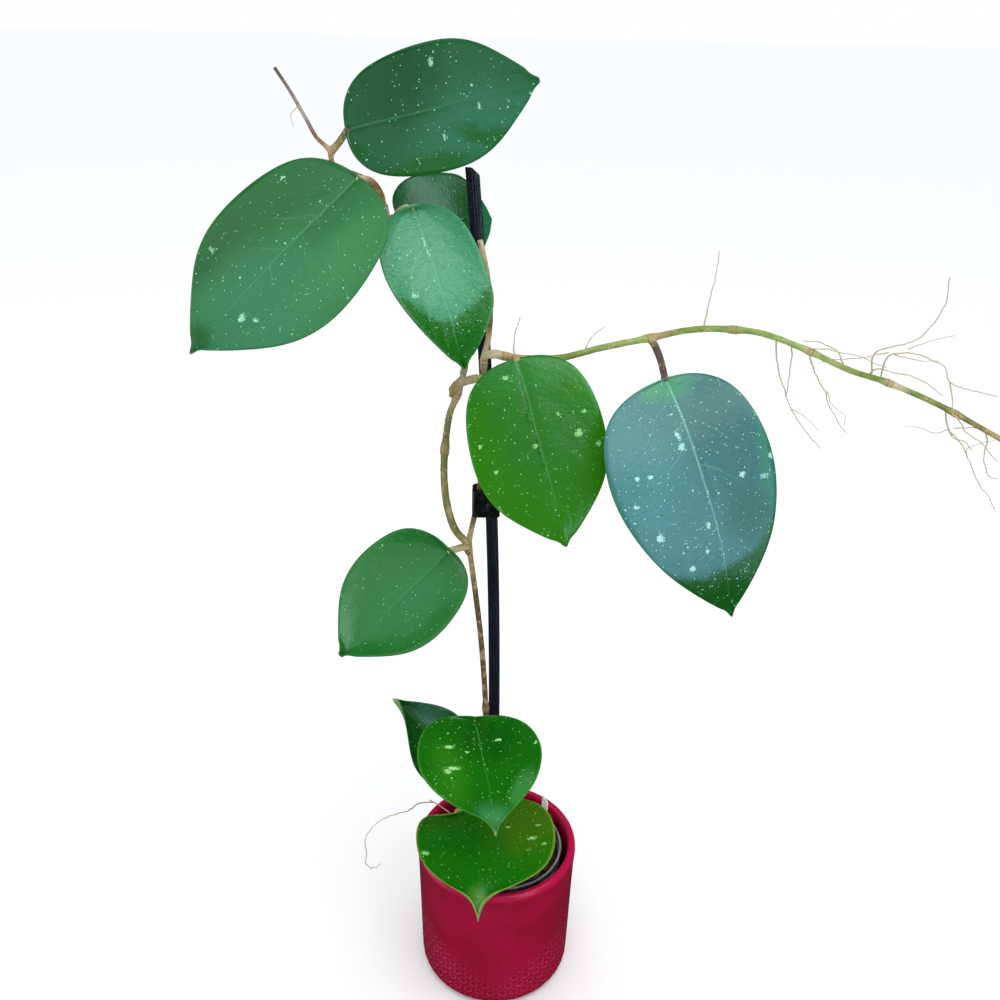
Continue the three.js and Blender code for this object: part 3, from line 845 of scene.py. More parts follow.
@dataclass(frozen=True)
class PaintedReflection(Patch):
    """A patch of painted reflection on a blade: a paler or bluer green where the gloss would mirror light, or
    a darker green where it would mirror none, with the softness of its border and its turn in degrees.
    """

    colour: Triple
    soft: float = 0.8
    strength: float = 1.0
    lean: float = 0.0

    def cover(self, g: Graph, place: Socket) -> Socket:
        """How much of the blade's own green the painted reflection hides.

        Args:
            g: the finish's nodes.
            place: the place on the blade.
        Returns:
            1 inside, 0 outside, and a soft border between.
        """
        ragged = g.shaken(place, 420, 0.003 / (0.3 + self.soft))
        return g.ramp(self.distance(g, ragged, self.lean), 1 + self.soft / 2, 1 - self.soft / 2)


@dataclass(frozen=True)
class OnBlade:
    """Where a point lies on its blade, as noted at the vertices.

    Attributes:
        place: across, along and above, in metres.
        across: the first of these.
        side: the share of the way to the margin, below 0 on the left.
        away: the same without its sign.
        share: the share of the blade's length.
    """

    place: Socket
    across: Socket
    side: Socket
    away: Socket
    share: Socket

    @classmethod
    def read(cls, g: Graph) -> "OnBlade":
        """Reads what was noted.

        Args:
            g: the finish's nodes.
        Returns:
            The place.
        """
        place = g.noted("blade")
        side, share, _ = g.split(g.noted("share"))
        across, _, _ = g.split(place)
        return cls(place, across, side, g.size(side), share)


@dataclass(frozen=True)
class LeafFinish:
    """The upper face of one leaf: glossy green with veins, a margin, pale flecks, patches of painted
    reflection and painted shade in its wrinkles.

    Attributes:
        name: the material's name.
        dark, light: the two greens of its clouds.
        margin, margin_strength: the margin's colour, and how strongly it shows.
        vein, vein_strength, midrib_strength: the veins' colour, and how strongly they show.
        flecks: how many flecks there are, where 1 is usual.
        roughness: how dull the face is.
        crinkle: how strongly its fine grain shows.
        splashes: the leaf's own large flecks, as the numbers of a patch.
        painted_reflections: patches of painted reflection, paler or bluer greens where the gloss would mirror
            light and darker greens where it would mirror none.
        pale: the flecks' colour.
    """

    name: str
    dark: Triple = tone(26, 84, 30)
    light: Triple = tone(48, 112, 44)
    margin: Triple = tone(70, 130, 50)
    vein: Triple = tone(96, 150, 90)
    margin_strength: float = 0.5
    vein_strength: float = 0.35
    midrib_strength: float = 0.6
    flecks: float = 1.0
    roughness: float = 0.2
    crinkle: float = 0.3
    splashes: tuple[tuple[float, float, float, float], ...] = ()
    painted_reflections: tuple[PaintedReflection, ...] = ()
    pale: Triple = tone(150, 222, 160)

    def ground(self, g: Graph, on: OnBlade, wrinkles: Socket) -> Socket:
        """The green under the veins: cloudy, with patches of painted reflection, painted shade in the hollows
        of its wrinkles, and a thin margin.

        Args:
            g: the finish's nodes.
            on: the place on the blade.
            wrinkles: the height of the fine grain, whose hollows get painted shade.
        Returns:
            The colour.
        """
        cloud = g.noise(on.place, 28, 3.0, 0.55)
        shade = g.line(g.minus(cloud, 0.5), 0.9, 0.5)
        colour = g.mix(g.ramp(shade, 0.1, 0.9), self.dark, self.light)
        drifting = g.shaken(on.place, 60, 0.012)
        # Patches of painted reflection: paler or bluer greens where the gloss would mirror light, darker
        # greens where it would mirror none.
        for reflection_patch in self.painted_reflections:
            colour = g.over(colour, reflection_patch.colour, reflection_patch.cover(g, drifting), reflection_patch.strength)
        # Painted shade: the hollows of the fine wrinkles are darkened with the dark green.
        colour = g.over(colour, self.dark, g.ramp(wrinkles, 0.5, 0.25), 0.28)
        return g.over(colour, self.margin, g.ramp(on.away, 0.955, 1.0), self.margin_strength)

    @staticmethod
    def veins(g: Graph, on: OnBlade, length: float) -> tuple[Socket, Socket]:
        """The side veins, which curve towards the tip and come and go, and the midrib.

        Args:
            g: the finish's nodes.
            on: the place on the blade.
            length: the leaf's length in millimetres.
        Returns:
            How strongly the side veins and the midrib show.
        """
        sway = g.sum("SINE", g.line(on.share, 11.0, g.times(on.side, 4.0)))
        lean = g.times(on.away, g.line(on.away, VEIN_LEAN[1], VEIN_LEAN[0]))
        phase = g.minus(on.share, g.line(sway, -VEIN_WOBBLE, lean))
        shift = g.times(g.passes(on.side, 0.0), 0.5)
        phase = g.plus(g.line(phase, VEINS, shift), g.times(g.noise(on.place, 40), 0.3))
        off = g.times(g.sum("PINGPONG", phase, 0.5), length / VEINS)
        there = g.times(g.ramp(g.noise(on.place, 26, 1.0), 0.42, 0.62), g.ramp(on.share, 0.97, 0.75))
        thin = g.times(g.ramp(off, 0.8, 0.15), g.times(there, g.ramp(on.away, 0.8, 0.3)))
        reach = g.line(on.share, -0.8 * MM, 1.15 * MM)
        aside = g.size(g.plus(on.across, g.times(sway, 0.3 * MM)))
        rib = g.ramp(g.sum("DIVIDE", aside, reach), 1.0, 0.4)
        fading = g.times(g.ramp(on.share, 0.97, 0.6), g.scaled(g.noise(on.place, 70), 0.4, 1.2))
        return thin, g.times(rib, fading)

    def pale_flecks(self, g: Graph, on: OnBlade) -> Socket:
        """Fine dots in drifts, bigger grains, ragged splashes and the leaf's own large flecks.

        Args:
            g: the finish's nodes.
            on: the place on the blade.
        Returns:
            How strongly they show.
        """
        crowd = g.noise(on.place, 55, 2.0, 0.6)
        near, first, second = g.cells(g.shaken(on.place, 1500, 0.0006), 760)
        there = g.passes(g.plus(first, g.times(crowd, 0.5)), 1.22 - 0.06 * self.flecks)
        pale = g.times(there, g.ramp(g.minus(near, g.line(second, 0.20, 0.12)), 0.06, -0.04))

        near, first, second = g.cells(g.shaken(on.place, 900, 0.0016), 330)
        there = g.passes(g.plus(first, g.times(crowd, 0.3)), 1.09 - 0.05 * self.flecks)
        size = g.line(g.sum("POWER", second, 3.0), 0.18, 0.06)
        pale = g.most(pale, g.times(there, g.ramp(g.minus(near, size), 0.04, -0.02)))

        ragged = g.shaken(g.shaken(on.place, 620, 0.0040), 1900, 0.0014)
        near, first, second = g.cells(g.stretched(ragged, (0.6, 1.0, 1.0)), 95)
        there = g.passes(first, 1.0 - 0.055 * self.flecks)
        broken = g.ramp(g.noise(on.place, 1500, 2.0, 0.6), 0.44, 0.52)
        size = g.line(second, 0.13, 0.05)
        pale = g.most(pale, g.times(there, broken, g.ramp(g.minus(near, size), 0.04, -0.02)))

        grit = g.times(g.minus(g.noise(on.place, 1300, 2.0, 0.6), 0.5), 2.4)
        for splash in self.splashes:
            gone = g.plus(Patch(*splash).distance(g, ragged), grit)
            pale = g.most(pale, g.ramp(gone, 1.15, 0.9))
        return g.times(pale, g.ramp(on.away, 1.0, 0.965))

    def material(self, length: float) -> bpy.types.Material:
        """Builds the finish.

        Args:
            length: the leaf's length in millimetres.
        Returns:
            The material.
        """
        g = Graph.of_material(self.name)
        on = OnBlade.read(g)
        wrinkles = g.noise(g.stretched(g.shaken(on.place, 150, 0.004), (0.45, 1.0, 1.0)), 620, 3.0, 0.6)
        thin, rib = self.veins(g, on, length)
        veins = g.most(g.times(thin, self.vein_strength), g.times(rib, self.midrib_strength))
        pale = self.pale_flecks(g, on)
        colour = g.mix(veins, self.ground(g, on, wrinkles), self.vein)
        colour = g.over(colour, self.pale, pale, 0.78)
        sunken = g.minus(1.0, g.most(g.times(thin, 0.7), rib))
        normal = g.relief(sunken, 0.10 * MM, 0.5)
        normal = g.relief(wrinkles, 0.35 * MM, self.crinkle, normal)
        dull = g.line(g.noise(on.place, 60, 2.0), 0.14, self.roughness - 0.07)
        dull = g.most(dull, g.times(pale, 0.5))
        return g.finish(Base_Color=colour, Roughness=dull, Normal=normal, Specular_IOR_Level=0.5)


@dataclass(frozen=True)
class LeafBackFinish:
    """The under face of every leaf: paler, duller, with raised veins."""

    name: str = "leaf_back"
    dark: Triple = tone(86, 128, 66)
    light: Triple = tone(108, 148, 80)
    rib: Triple = tone(150, 170, 100)
    net: Triple = tone(128, 162, 92)
    margin: Triple = tone(128, 156, 70)

    def material(self) -> bpy.types.Material:
        """Builds the finish.

        Returns:
            The material.
        """
        g = Graph.of_material(self.name)
        on = OnBlade.read(g)
        colour = g.mix(g.ramp(g.noise(on.place, 45, 3.0), 0.3, 0.7), self.dark, self.light)
        reach = g.line(on.share, -1.2 * MM, 1.8 * MM)
        rib = g.ramp(g.sum("DIVIDE", g.size(on.across), reach), 1.0, 0.5)
        colour = g.over(colour, self.rib, rib, 0.6)
        net, _, _ = g.cells(g.shaken(on.place, 120, 0.002), 150)
        colour = g.over(colour, self.net, g.ramp(net, 0.4, 0.8), 0.25)
        colour = g.over(colour, self.margin, g.ramp(on.away, 0.93, 1.0), 0.4)
        normal = g.relief(g.noise(on.place, 480, 3.0), 0.15 * MM, 0.5)
        return g.finish(Base_Color=colour, Roughness=0.5, Normal=normal)


@dataclass(frozen=True)
class GlazeFinish:
    """Crimson satin glaze with pressed rings round the lower wall, painted highlights on the rings' rims and
    the pot's rim, and painted shade in the rings' bowls.
    """

    name: str = "crimson_glaze"
    dark: Triple = tone(132, 0, 36)
    light: Triple = tone(148, 0, 48)
    ring_rim_highlight: Triple = tone(200, 72, 110)
    ring_bowl_shade: Triple = tone(104, 0, 28)
    pot_rim_highlight: Triple = tone(190, 2, 68)

    def material(self, dimples: "DimplePattern") -> bpy.types.Material:
        """Builds the finish.

        Args:
            dimples: the pattern of pressed rings.
        Returns:
            The material.
        """
        g = Graph.of_material(self.name)
        here = g.here()
        x, y, z = g.split(here)
        turn = g.sum("DIVIDE", g.sum("ARCTAN2", y, x), ROUND)
        row = g.sum("DIVIDE", g.minus(z, dimples.first_row * MM), dimples.row_pitch * MM)
        count = g.sum("ROUND", row)
        column = g.line(turn, float(dimples.columns), g.times(g.sum("PINGPONG", count, 1.0), 0.5))
        aside = g.times(g.minus(column, g.sum("ROUND", column)), dimples.column_pitch)
        above = g.times(g.minus(row, count), dimples.row_pitch)
        away = g.sum("SQRT", g.plus(g.times(aside, aside), g.times(above, above)))
        radius = g.line(g.noise(here, 60, 2.0), 0.5, dimples.radius - 0.25)
        past = g.minus(away, radius)
        rim, bowl = g.ramp(g.size(past), 0.45, 0.1), g.ramp(past, 0.0, -0.9)
        low = g.line(g.size(x), -dimples.side_lift, z)
        fade = g.ramp(low, dimples.fade_top * MM, dimples.fade_start * MM)
        inside = g.times(fade, g.ramp(z, 1.5 * MM, 4.0 * MM))

        colour = g.mix(g.ramp(g.noise(here, 22, 3.0), 0.3, 0.7), self.dark, self.light)
        # Painted highlight: the rims of the pressed rings are lighter, as where light catches them.
        colour = g.over(colour, self.ring_rim_highlight, g.times(rim, inside), 0.42)
        # Painted shade: the bowls of the pressed rings are darker.
        colour = g.over(colour, self.ring_bowl_shade, g.times(bowl, inside), 0.15)
        # Painted highlight: the band round the pot's rim is lighter, as where light falls on it.
        colour = g.over(colour, self.pot_rim_highlight, g.ramp(z, 108 * MM, 113 * MM), 0.75)
        height = g.times(g.line(bowl, -1.0, g.times(rim, 0.4)), inside)
        normal = g.relief(height, 0.35 * MM, 0.8)
        normal = g.relief(g.noise(here, 90, 2.0), 0.25 * MM, 0.3, normal)
        dull = g.line(g.noise(here, 35, 2.0), 0.10, 0.20)
        return g.finish(Base_Color=colour, Roughness=dull, Normal=normal, Specular_IOR_Level=0.32)


@dataclass(frozen=True)
class ClearPlasticFinish:
    """Clear grey plastic, with the dark mix seen through it and painted highlight lines round its lip."""

    name: str = "nursery_plastic"
    dark: Triple = tone(54, 58, 60)
    light: Triple = tone(98, 102, 104)
    painted_highlight: Triple = tone(186, 190, 190)
    highlight_heights: Triple = (94.6, 99.0, 104.6)

    def material(self) -> bpy.types.Material:
        """Builds the finish.

        Returns:
            The material.
        """
        g = Graph.of_material(self.name)
        here = g.here()
        smears = g.noise(g.stretched(here, (1.0, 1.0, 0.35)), 90, 4.0, 0.6)
        colour = g.mix(g.ramp(smears, 0.35, 0.7), self.dark, self.light)
        _, _, z = g.split(here)
        # Painted highlights: bright lines at these heights round the lip.
        for height in self.highlight_heights:
            line = g.ramp(g.size(g.minus(z, height * MM)), 0.9 * MM, 0.3 * MM)
            colour = g.over(colour, self.painted_highlight, line, 0.8)
        cover = g.scaled(g.ramp(smears, 0.3, 0.75), 0.5, 0.8)
        normal = g.relief(smears, 0.3 * MM, 0.4)
        return g.finish(Base_Color=colour, Roughness=0.16, Alpha=cover, Normal=normal)


@dataclass(frozen=True)
class BarkFinish:
    """Dark bark, each chip in its own brown, with fibres and pale dust."""

    name: str = "bark_mix"
    dark: Triple = tone(34, 25, 18)
    light: Triple = tone(92, 64, 42)
    fibre: Triple = tone(20, 15, 12)
    dust: Triple = tone(138, 116, 90)

    def material(self) -> bpy.types.Material:
        """Builds the finish.

        Returns:
            The material.
        """
        g = Graph.of_material(self.name)
        here = g.here()
        draw, _, _ = g.split(g.noted("draw"))
        colour = g.mix(draw, self.dark, self.light)
        fibres = g.noise(g.stretched(here, (1.0, 1.0, 3.0)), 480, 4.0, 0.7)
        colour = g.over(colour, self.fibre, g.ramp(fibres, 0.35, 0.7), 0.5)
        colour = g.over(colour, self.dust, g.ramp(g.noise(here, 260, 3.0), 0.6, 0.72), 0.35)
        normal = g.relief(fibres, 0.6 * MM, 0.8)
        return g.finish(Base_Color=colour, Roughness=0.88, Normal=normal)


@dataclass(frozen=True)
class StemFinish:
    """Woody or green stem skin: tinted along its way, streaked, with rings at its joints."""

    name: str
    streaks: float = 0.5
    specks: float = 0.4
    roughness: float = 0.62
    dark: Triple = tone(60, 44, 26)
    worn: Triple = tone(196, 176, 134)
    speck: Triple = tone(206, 190, 152)
    ring: Triple = tone(108, 76, 46)
    joint: Triple = tone(190, 162, 112)

    def material(self) -> bpy.types.Material:
        """Builds the finish.

        Returns:
            The material.
        """
        g = Graph.of_material(self.name)
        here = g.here()
        run, around, away = g.split(g.noted("run"))
        skin = g.noise(g.vector(g.times(run, 0.22), around, 0.0), 700, 4.0, 0.65)
        tint = g.noted("tint")
        colour = g.mix(g.times(g.ramp(skin, 0.42, 0.7), self.streaks), tint, g.mix(0.6, tint, self.dark))
        worn = g.ramp(g.noise(here, 120, 3.0, 0.6), 0.52, 0.66)
        colour = g.over(colour, self.worn, worn, self.streaks * 0.7)
        near, first, _ = g.cells(here, 520)
        specks = g.times(g.passes(first, 0.72), g.ramp(near, 0.34, 0.2))
        colour = g.over(colour, self.speck, specks, self.specks)
        ring = g.ramp(g.size(g.minus(away, 1.3 * MM)), 0.9 * MM, 0.2 * MM)
        colour = g.over(colour, self.ring, ring, 0.55)
        colour = g.over(colour, self.joint, g.ramp(away, 4.0 * MM, 1.5 * MM), 0.3)
        height = g.line(ring, -0.6, g.line(specks, 0.4, skin))
        normal = g.relief(height, 0.3 * MM, 0.7)
        return g.finish(Base_Color=colour, Roughness=self.roughness, Normal=normal)


@dataclass(frozen=True)
class StakeFinish:
    """Near black plastic with a navy cast and drawn lines along it."""

    name: str = "stake_plastic"
    dark: Triple = tone(8, 10, 22)
    light: Triple = tone(22, 27, 50)
    scuff: Triple = tone(96, 100, 116)

    def material(self) -> bpy.types.Material:
        """Builds the finish.

        Returns:
            The material.
        """
        g = Graph.of_material(self.name)
        here = g.here()
        drawn = g.noise(g.stretched(here, (1.0, 1.0, 0.02)), 1400, 3.0)
        scuffs = g.noise(here, 320, 4.0, 0.7)
        colour = g.mix(g.ramp(drawn, 0.35, 0.65), self.dark, self.light)
        colour = g.over(colour, self.scuff, g.ramp(scuffs, 0.62, 0.75), 0.35)
        dull = g.scaled(g.ramp(scuffs, 0.4, 0.7), 0.3, 0.5)
        normal = g.relief(drawn, 0.25 * MM, 0.6)
        return g.finish(Base_Color=colour, Roughness=dull, Normal=normal)


@dataclass(frozen=True)
class ClipFinish:
    """Glossy black rubbery plastic."""

    name: str = "clip_rubber"
    dark: Triple = tone(9, 10, 11)
    light: Triple = tone(28, 31, 33)

    def material(self) -> bpy.types.Material:
        """Builds the finish.

        Returns:
            The material.
        """
        g = Graph.of_material(self.name)
        here = g.here()
        wear = g.noise(here, 240, 3.0, 0.6)
        colour = g.mix(g.ramp(wear, 0.4, 0.7), self.dark, self.light)
        normal = g.relief(g.noise(here, 900, 3.0), 0.1 * MM, 0.5)
        return g.finish(Base_Color=colour, Roughness=g.scaled(wear, 0.18, 0.4), Normal=normal)


@dataclass(frozen=True)
class LabelFinish:
    """Plain white plastic, a little soiled near the mix."""

    name: str = "label_plastic"
    clean: Triple = tone(236, 236, 230)
    soiled: Triple = tone(150, 132, 108)

    def material(self) -> bpy.types.Material:
        """Builds the finish.

        Returns:
            The material.
        """
        g = Graph.of_material(self.name)
        here = g.here()
        _, _, z = g.split(here)
        soil = g.times(g.noise(here, 260, 4.0, 0.7), g.ramp(z, 118 * MM, 100 * MM))
        colour = g.mix(g.ramp(soil, 0.3, 0.6), self.clean, self.soiled)
        normal = g.relief(g.noise(here, 700, 2.0), 0.08 * MM, 0.4)
        return g.finish(Base_Color=colour, Roughness=0.42, Normal=normal)


# ---------------------------------------------------------------- pots and mix


@dataclass(frozen=True)
class DimplePattern:
    """Rings pressed into the cover pot in staggered rows, fading out upwards, in millimetres."""

    columns: int = 41
    radius: float = 2.8
    row_pitch: float = 7.4
    first_row: float = 7.0
    fade_start: float = 6.0
    fade_top: float = 34.0
    side_lift: float = 0.75
    depth: float = 0.2
    wall: float = 57.6

    @property
    def column_pitch(self) -> float:
        """The distance between dimples round the wall."""
        return ROUND * self.wall / self.columns

    def sunk(self, x: np.ndarray, y: np.ndarray, z: np.ndarray) -> np.ndarray:
        """How deep the wall is pressed in at each place.

        Args:
            x, y, z: places in millimetres.
        Returns:
            The depth in millimetres.
        """
        row = (z - self.first_row) / self.row_pitch
        count = np.rint(row)
        column = np.arctan2(y, x) / ROUND * self.columns + 0.5 * (np.abs(count) % 2)
        aside = (column - np.rint(column)) * self.column_pitch
        above = (row - count) * self.row_pitch
        fade = rise(z - self.side_lift * np.abs(x), self.fade_top, self.fade_start) * rise(z, 1.5, 4.0)
        return self.depth * fade * rise(np.hypot(aside, above), self.radius + 0.2, self.radius - 1.1)


COVER_PROFILE = (
    (0, 0), (47, 0), (51.5, 0.8), (55, 3), (56.9, 6.2), (57.4, 10), (59.2, 100), (60, 107),
    (60, 111.2), (59.1, 113.8), (57, 115), (55.2, 114.4), (54.2, 112), (54, 106), (52.4, 14),
    (50, 9), (45, 7), (0, 7),
)
NURSERY_PROFILE = (
    (0, 7.3), (37, 7.3), (38.5, 9.3), (44.4, 94), (46.6, 95), (46.9, 98), (46.2, 99.4),
    (47.1, 101), (47.4, 103.6), (46.6, 105), (45.3, 104.6), (44.8, 102), (43, 93), (37, 9.9),
    (36, 8.9), (0, 8.9),
)
MIX_PROFILE = ((0, 9.2), (35, 9.2), (36.4, 11.2), (42.4, 91), (43.2, 98), (30, 99), (15, 101), (0, 100))


@dataclass(frozen=True)
class PotsAndMix:
    """The cover pot, the nursery pot inside it and the bark mix, in millimetres.

    Attributes:
        lip: the number of the cover profile's point where its inside starts.
        outside: the radius past which the cover pot's wall is dimpled.
        nursery_centre: where the nursery pot's axis stands.
        chips: how many bark chips lie on the mix.
        chip_reach, mix_reach: how far from the axis a chip's middle and its ends may lie.
        mix_top: the height of the mix.
    """

    lip: int = 11
    outside: float = 54.5
    cover_segments: int = 360
    nursery_segments: int = 120
    mix_segments: int = 72
    nursery_centre: tuple[float, float] = (3, 5)
    dimples: DimplePattern = DimplePattern()
    chips: int = 230
    chip_reach: float = 40.0
    mix_reach: float = 42.6
    mix_top: float = 99.5

    def cover_pot(self) -> bpy.types.Object:
        """Turns the cover pot and presses its dimples.

        Returns:
            The piece.
        """
        outer, inner = COVER_PROFILE[: self.lip + 1], COVER_PROFILE[self.lip :]
        profile = np.vstack([refined(outer, 1.0, 2), refined(inner, 4.0, 2)[1:]])
        steps = np.hypot(*np.diff(profile[:-1], axis=0).T)
        profile = np.vstack([profile[:1], profile[1:-1][steps > 0.05], profile[-1:]])
        pot = lathe("glazed_cover_pot", profile, self.cover_segments, (0, 0))
        at = vertices_of(pot)
        x, y, z = (at / MM).T
        reach = np.hypot(x, y)
        sunk = np.where(reach > self.outside, self.dimples.sunk(x, y, z), 0)
        at[:, :2] *= (1 - sunk / np.maximum(reach, 1))[:, None]
        place_vertices(pot, at)
        turned_out(pot)
        smooth(pot)
        pot.data.materials.append(GlazeFinish().material(self.dimples))
        return finished(pot, Slot.GLAZE, "cover_pot")

    def nursery_pot(self) -> bpy.types.Object:
        """Turns the nursery pot, with its rolled lip.

        Returns:
            The piece.
        """
        profile = refined(NURSERY_PROFILE, 5.0, 1)
        pot = lathe("clear_nursery_pot", profile, self.nursery_segments, self.nursery_centre)
        turned_out(pot)
        smooth(pot, 50)
        pot.data.materials.append(ClearPlasticFinish().material())
        return finished(pot, Slot.NURSERY, "nursery_pot")

    def filling(self) -> bpy.types.Object:
        """Fills the nursery pot, with an uneven top.

        Returns:
            The filling, without its chips.
        """
        body = lathe("bark_mix_top", refined(MIX_PROFILE, 2.5), self.mix_segments, self.nursery_centre)
        at = vertices_of(body)
        lift = rise(at[:, 2], 90 * MM, 98 * MM) * 1.6 * MM
        at[:, 2] += lift * rough(at, 150)
        place_vertices(body, at)
        note(body, "draw", np.tile([0.1, 0, 0], (len(at), 1)))
        turned_out(body)
        return body

    def chip(self, pattern: bpy.types.Object, k: int, draws: np.random.Generator) -> bpy.types.Object:
        """Lays one bark chip on the mix, inside the pot.

        Args:
            pattern: the chip that this one is a copy of.
            k: its number.
            draws: the random draws.
        Returns:
            The chip, with a draw for its brown noted at its vertices.
        """
        chip = bpy.data.objects.new(f"bark_chip_{k}", pattern.data.copy())
        bpy.context.scene.collection.objects.link(chip)
        shape = vertices_of(pattern)
        half = np.array([draws.uniform(2.2, 6.5), draws.uniform(1.4, 4.0), draws.uniform(0.8, 2.2)])
        angle, reach = draws.uniform(0, ROUND), self.chip_reach * math.sqrt(draws.uniform(0, 1))
        turn = Matrix.Rotation(draws.uniform(0, ROUND), 3, "Z")
        for tilt, axis in ((0.7, "X"), (0.5, "Y")):
            turn = turn @ Matrix.Rotation(draws.uniform(-tilt, tilt), 3, axis)
        own = shape * half
        own = own * (1 + 0.35 * rough(shape * 0.6 + k, 1.0))[:, None]
        own = own @ np.array(turn).T
        middle = np.array(self.nursery_centre)
        aside = (middle[0] + reach * math.cos(angle), middle[1] + reach * math.sin(angle))
        own += np.array([*aside, self.mix_top + draws.uniform(-1.0, 2.2)])
        gone = np.hypot(*(own[:, :2] - middle).T)
        pull = np.minimum(1, self.mix_reach / np.maximum(gone, 1))
        own[:, :2] = middle + (own[:, :2] - middle) * pull[:, None]
        place_vertices(chip, own * MM)
        note(chip, "draw", np.tile([draws.uniform(0, 1) ** 1.5, 0, 0], (len(own), 1)))
        return chip

    def mix(self) -> bpy.types.Object:
        """Fills the nursery pot and scatters bark chips over the top.

        Returns:
            The piece.
        """
        parts = [self.filling()]
        bpy.ops.mesh.primitive_cube_add(size=2)
        pattern = added("bark_chip")
        with_modifier(pattern, "BEVEL", width=0.3, segments=1)
        with_modifier(pattern, "SUBSURF", levels=1, render_levels=1)
        draws = np.random.default_rng(11)
        parts += [self.chip(pattern, k, draws) for k in range(self.chips)]
        bpy.data.objects.remove(pattern)
        mix = joined("bark_mix_and_chips", parts)
        smooth(mix, 40)
        mix.data.materials.clear()
        mix.data.materials.append(BarkFinish().material())
        return finished(mix, Slot.MIX, "potting_mix")

    def build(self) -> list[bpy.types.Object]:
        """Builds the pots and the mix."""
        return [self.cover_pot(), self.nursery_pot(), self.mix()]


# ---------------------------------------------------------------- stake, clip and label


@dataclass(frozen=True)
class Support:
    """The stake, the clip that holds the stem to it, and the label, in millimetres.

    Attributes:
        stake_foot, stake_top: the heights of the stake's ends.
        bend_start, bend: where the stake starts to bend aside, and how strongly.
        stake_x: where it stands from left to right.
        foot_y, top_y: where its ends are from front to back.
        width, depth, corner: its section's sides, and how far its corners are cut.
        notch: how much lower the right half of its top is.
        rings: rings of vertices along it.
        clip_drop: how much lower than its solid the clip sits.
    """

    stake_foot: float = 20.0
    stake_top: float = 602.0
    bend_start: float = 177.0
    stake_x: float = -3.6
    bend: float = 1.02e-4
    foot_y: float = 14.0
    top_y: float = 0.5
    width: float = 7.8
    depth: float = 4.4
    corner: float = 1.1
    notch: float = 4.0
    rings: int = 100
    clip_drop: float = 3.5

    def stake_point(self, height: np.ndarray) -> np.ndarray:
        """The stake's middle line.

        Args:
            height: heights in millimetres.
        Returns:
            The places at these heights, one row each.
        """
        above = np.maximum(0, height - self.bend_start)
        share = (height - self.stake_foot) / (self.stake_top - self.stake_foot)
        y = self.foot_y + (self.top_y - self.foot_y) * share
        return np.column_stack([self.stake_x - self.bend * above**2, y, height])

    def section(self) -> np.ndarray:
        """The stake's section, with its cut corners and the grooves in its front.

        Returns:
            Rows of x and y, counter-clockwise from its right side.
        """
        w, d, c = self.width / 2, self.depth / 2, self.corner
        cut = ((w, d - c), (w - 0.3 * c, d - 0.3 * c), (w - c, d))
        left = [(-x, y) for x, y in cut[::-1]]
        grooves = ((0.52, -0.15), (0.4, 0.25), (0.25, 0), (0.12, 0.55))
        front = [(-share * w, -d + deep) for share, deep in grooves]
        front += [(0, -d + 0.7)] + [(-x, y) for x, y in front[::-1]]
        left_front, right_front = ([(x, -y) for x, y in side[::-1]] for side in (left, cut))
        return np.array([*cut, *left, *left_front, *front, *right_front])

    def stake(self) -> bpy.types.Object:
        """Draws the ridged stake out of a cylinder, and steps its top.

        Returns:
            The piece.
        """
        section = self.section()
        heights = np.linspace(self.stake_foot, self.stake_top, self.rings)
        heights[-3:] = [self.stake_top - self.notch - 0.5, self.stake_top - self.notch, self.stake_top]
        path = self.stake_point(heights)
        piece, ring, angle, hub = ringed_cylinder("ridged_stake", len(section), len(path))
        turn = np.rint(angle / ROUND * len(section)).astype(int) % len(section)
        flat = np.where(hub[:, None], 0, section[turn])
        places = path[ring] + np.column_stack([flat[:, 0], flat[:, 1], np.zeros(len(flat))])
        low_side = (ring == len(path) - 1) & (flat[:, 0] > 0.3)
        places[low_side, 2] -= self.notch - 0.2
        place_vertices(piece, places * MM)
        turned_out(piece)
        smooth(piece, 35)
        piece.data.materials.append(StakeFinish().material())
        return finished(piece, Slot.STAKE, "plant_stake")

    def clip(self) -> bpy.types.Object:
        """Sets the clip lower and rounds its edges.

        Returns:
            The piece.
        """
        piece = copy_of_solid("stem_clip", "stake_clip")
        place_vertices(piece, vertices_of(piece) - np.array([0, 0, self.clip_drop * MM]))
        ease_edges(piece, 0.35)
        piece.data.materials.append(ClipFinish().material())
        return finished(piece, Slot.CLIP, "stem_clip")

    def label(self) -> bpy.types.Object:
        """Rounds the label's corners.

        Returns:
            The piece.
        """
        piece = copy_of_solid("plant_label", "white_label")
        ease_edges(piece, 0.3)
        piece.data.materials.append(LabelFinish().material())
        return finished(piece, Slot.LABEL, "plant_label")

    def build(self) -> list[bpy.types.Object]:
        """Builds the stake, the clip and the label."""
        return [self.stake(), self.clip(), self.label()]


# ---------------------------------------------------------------- leaves


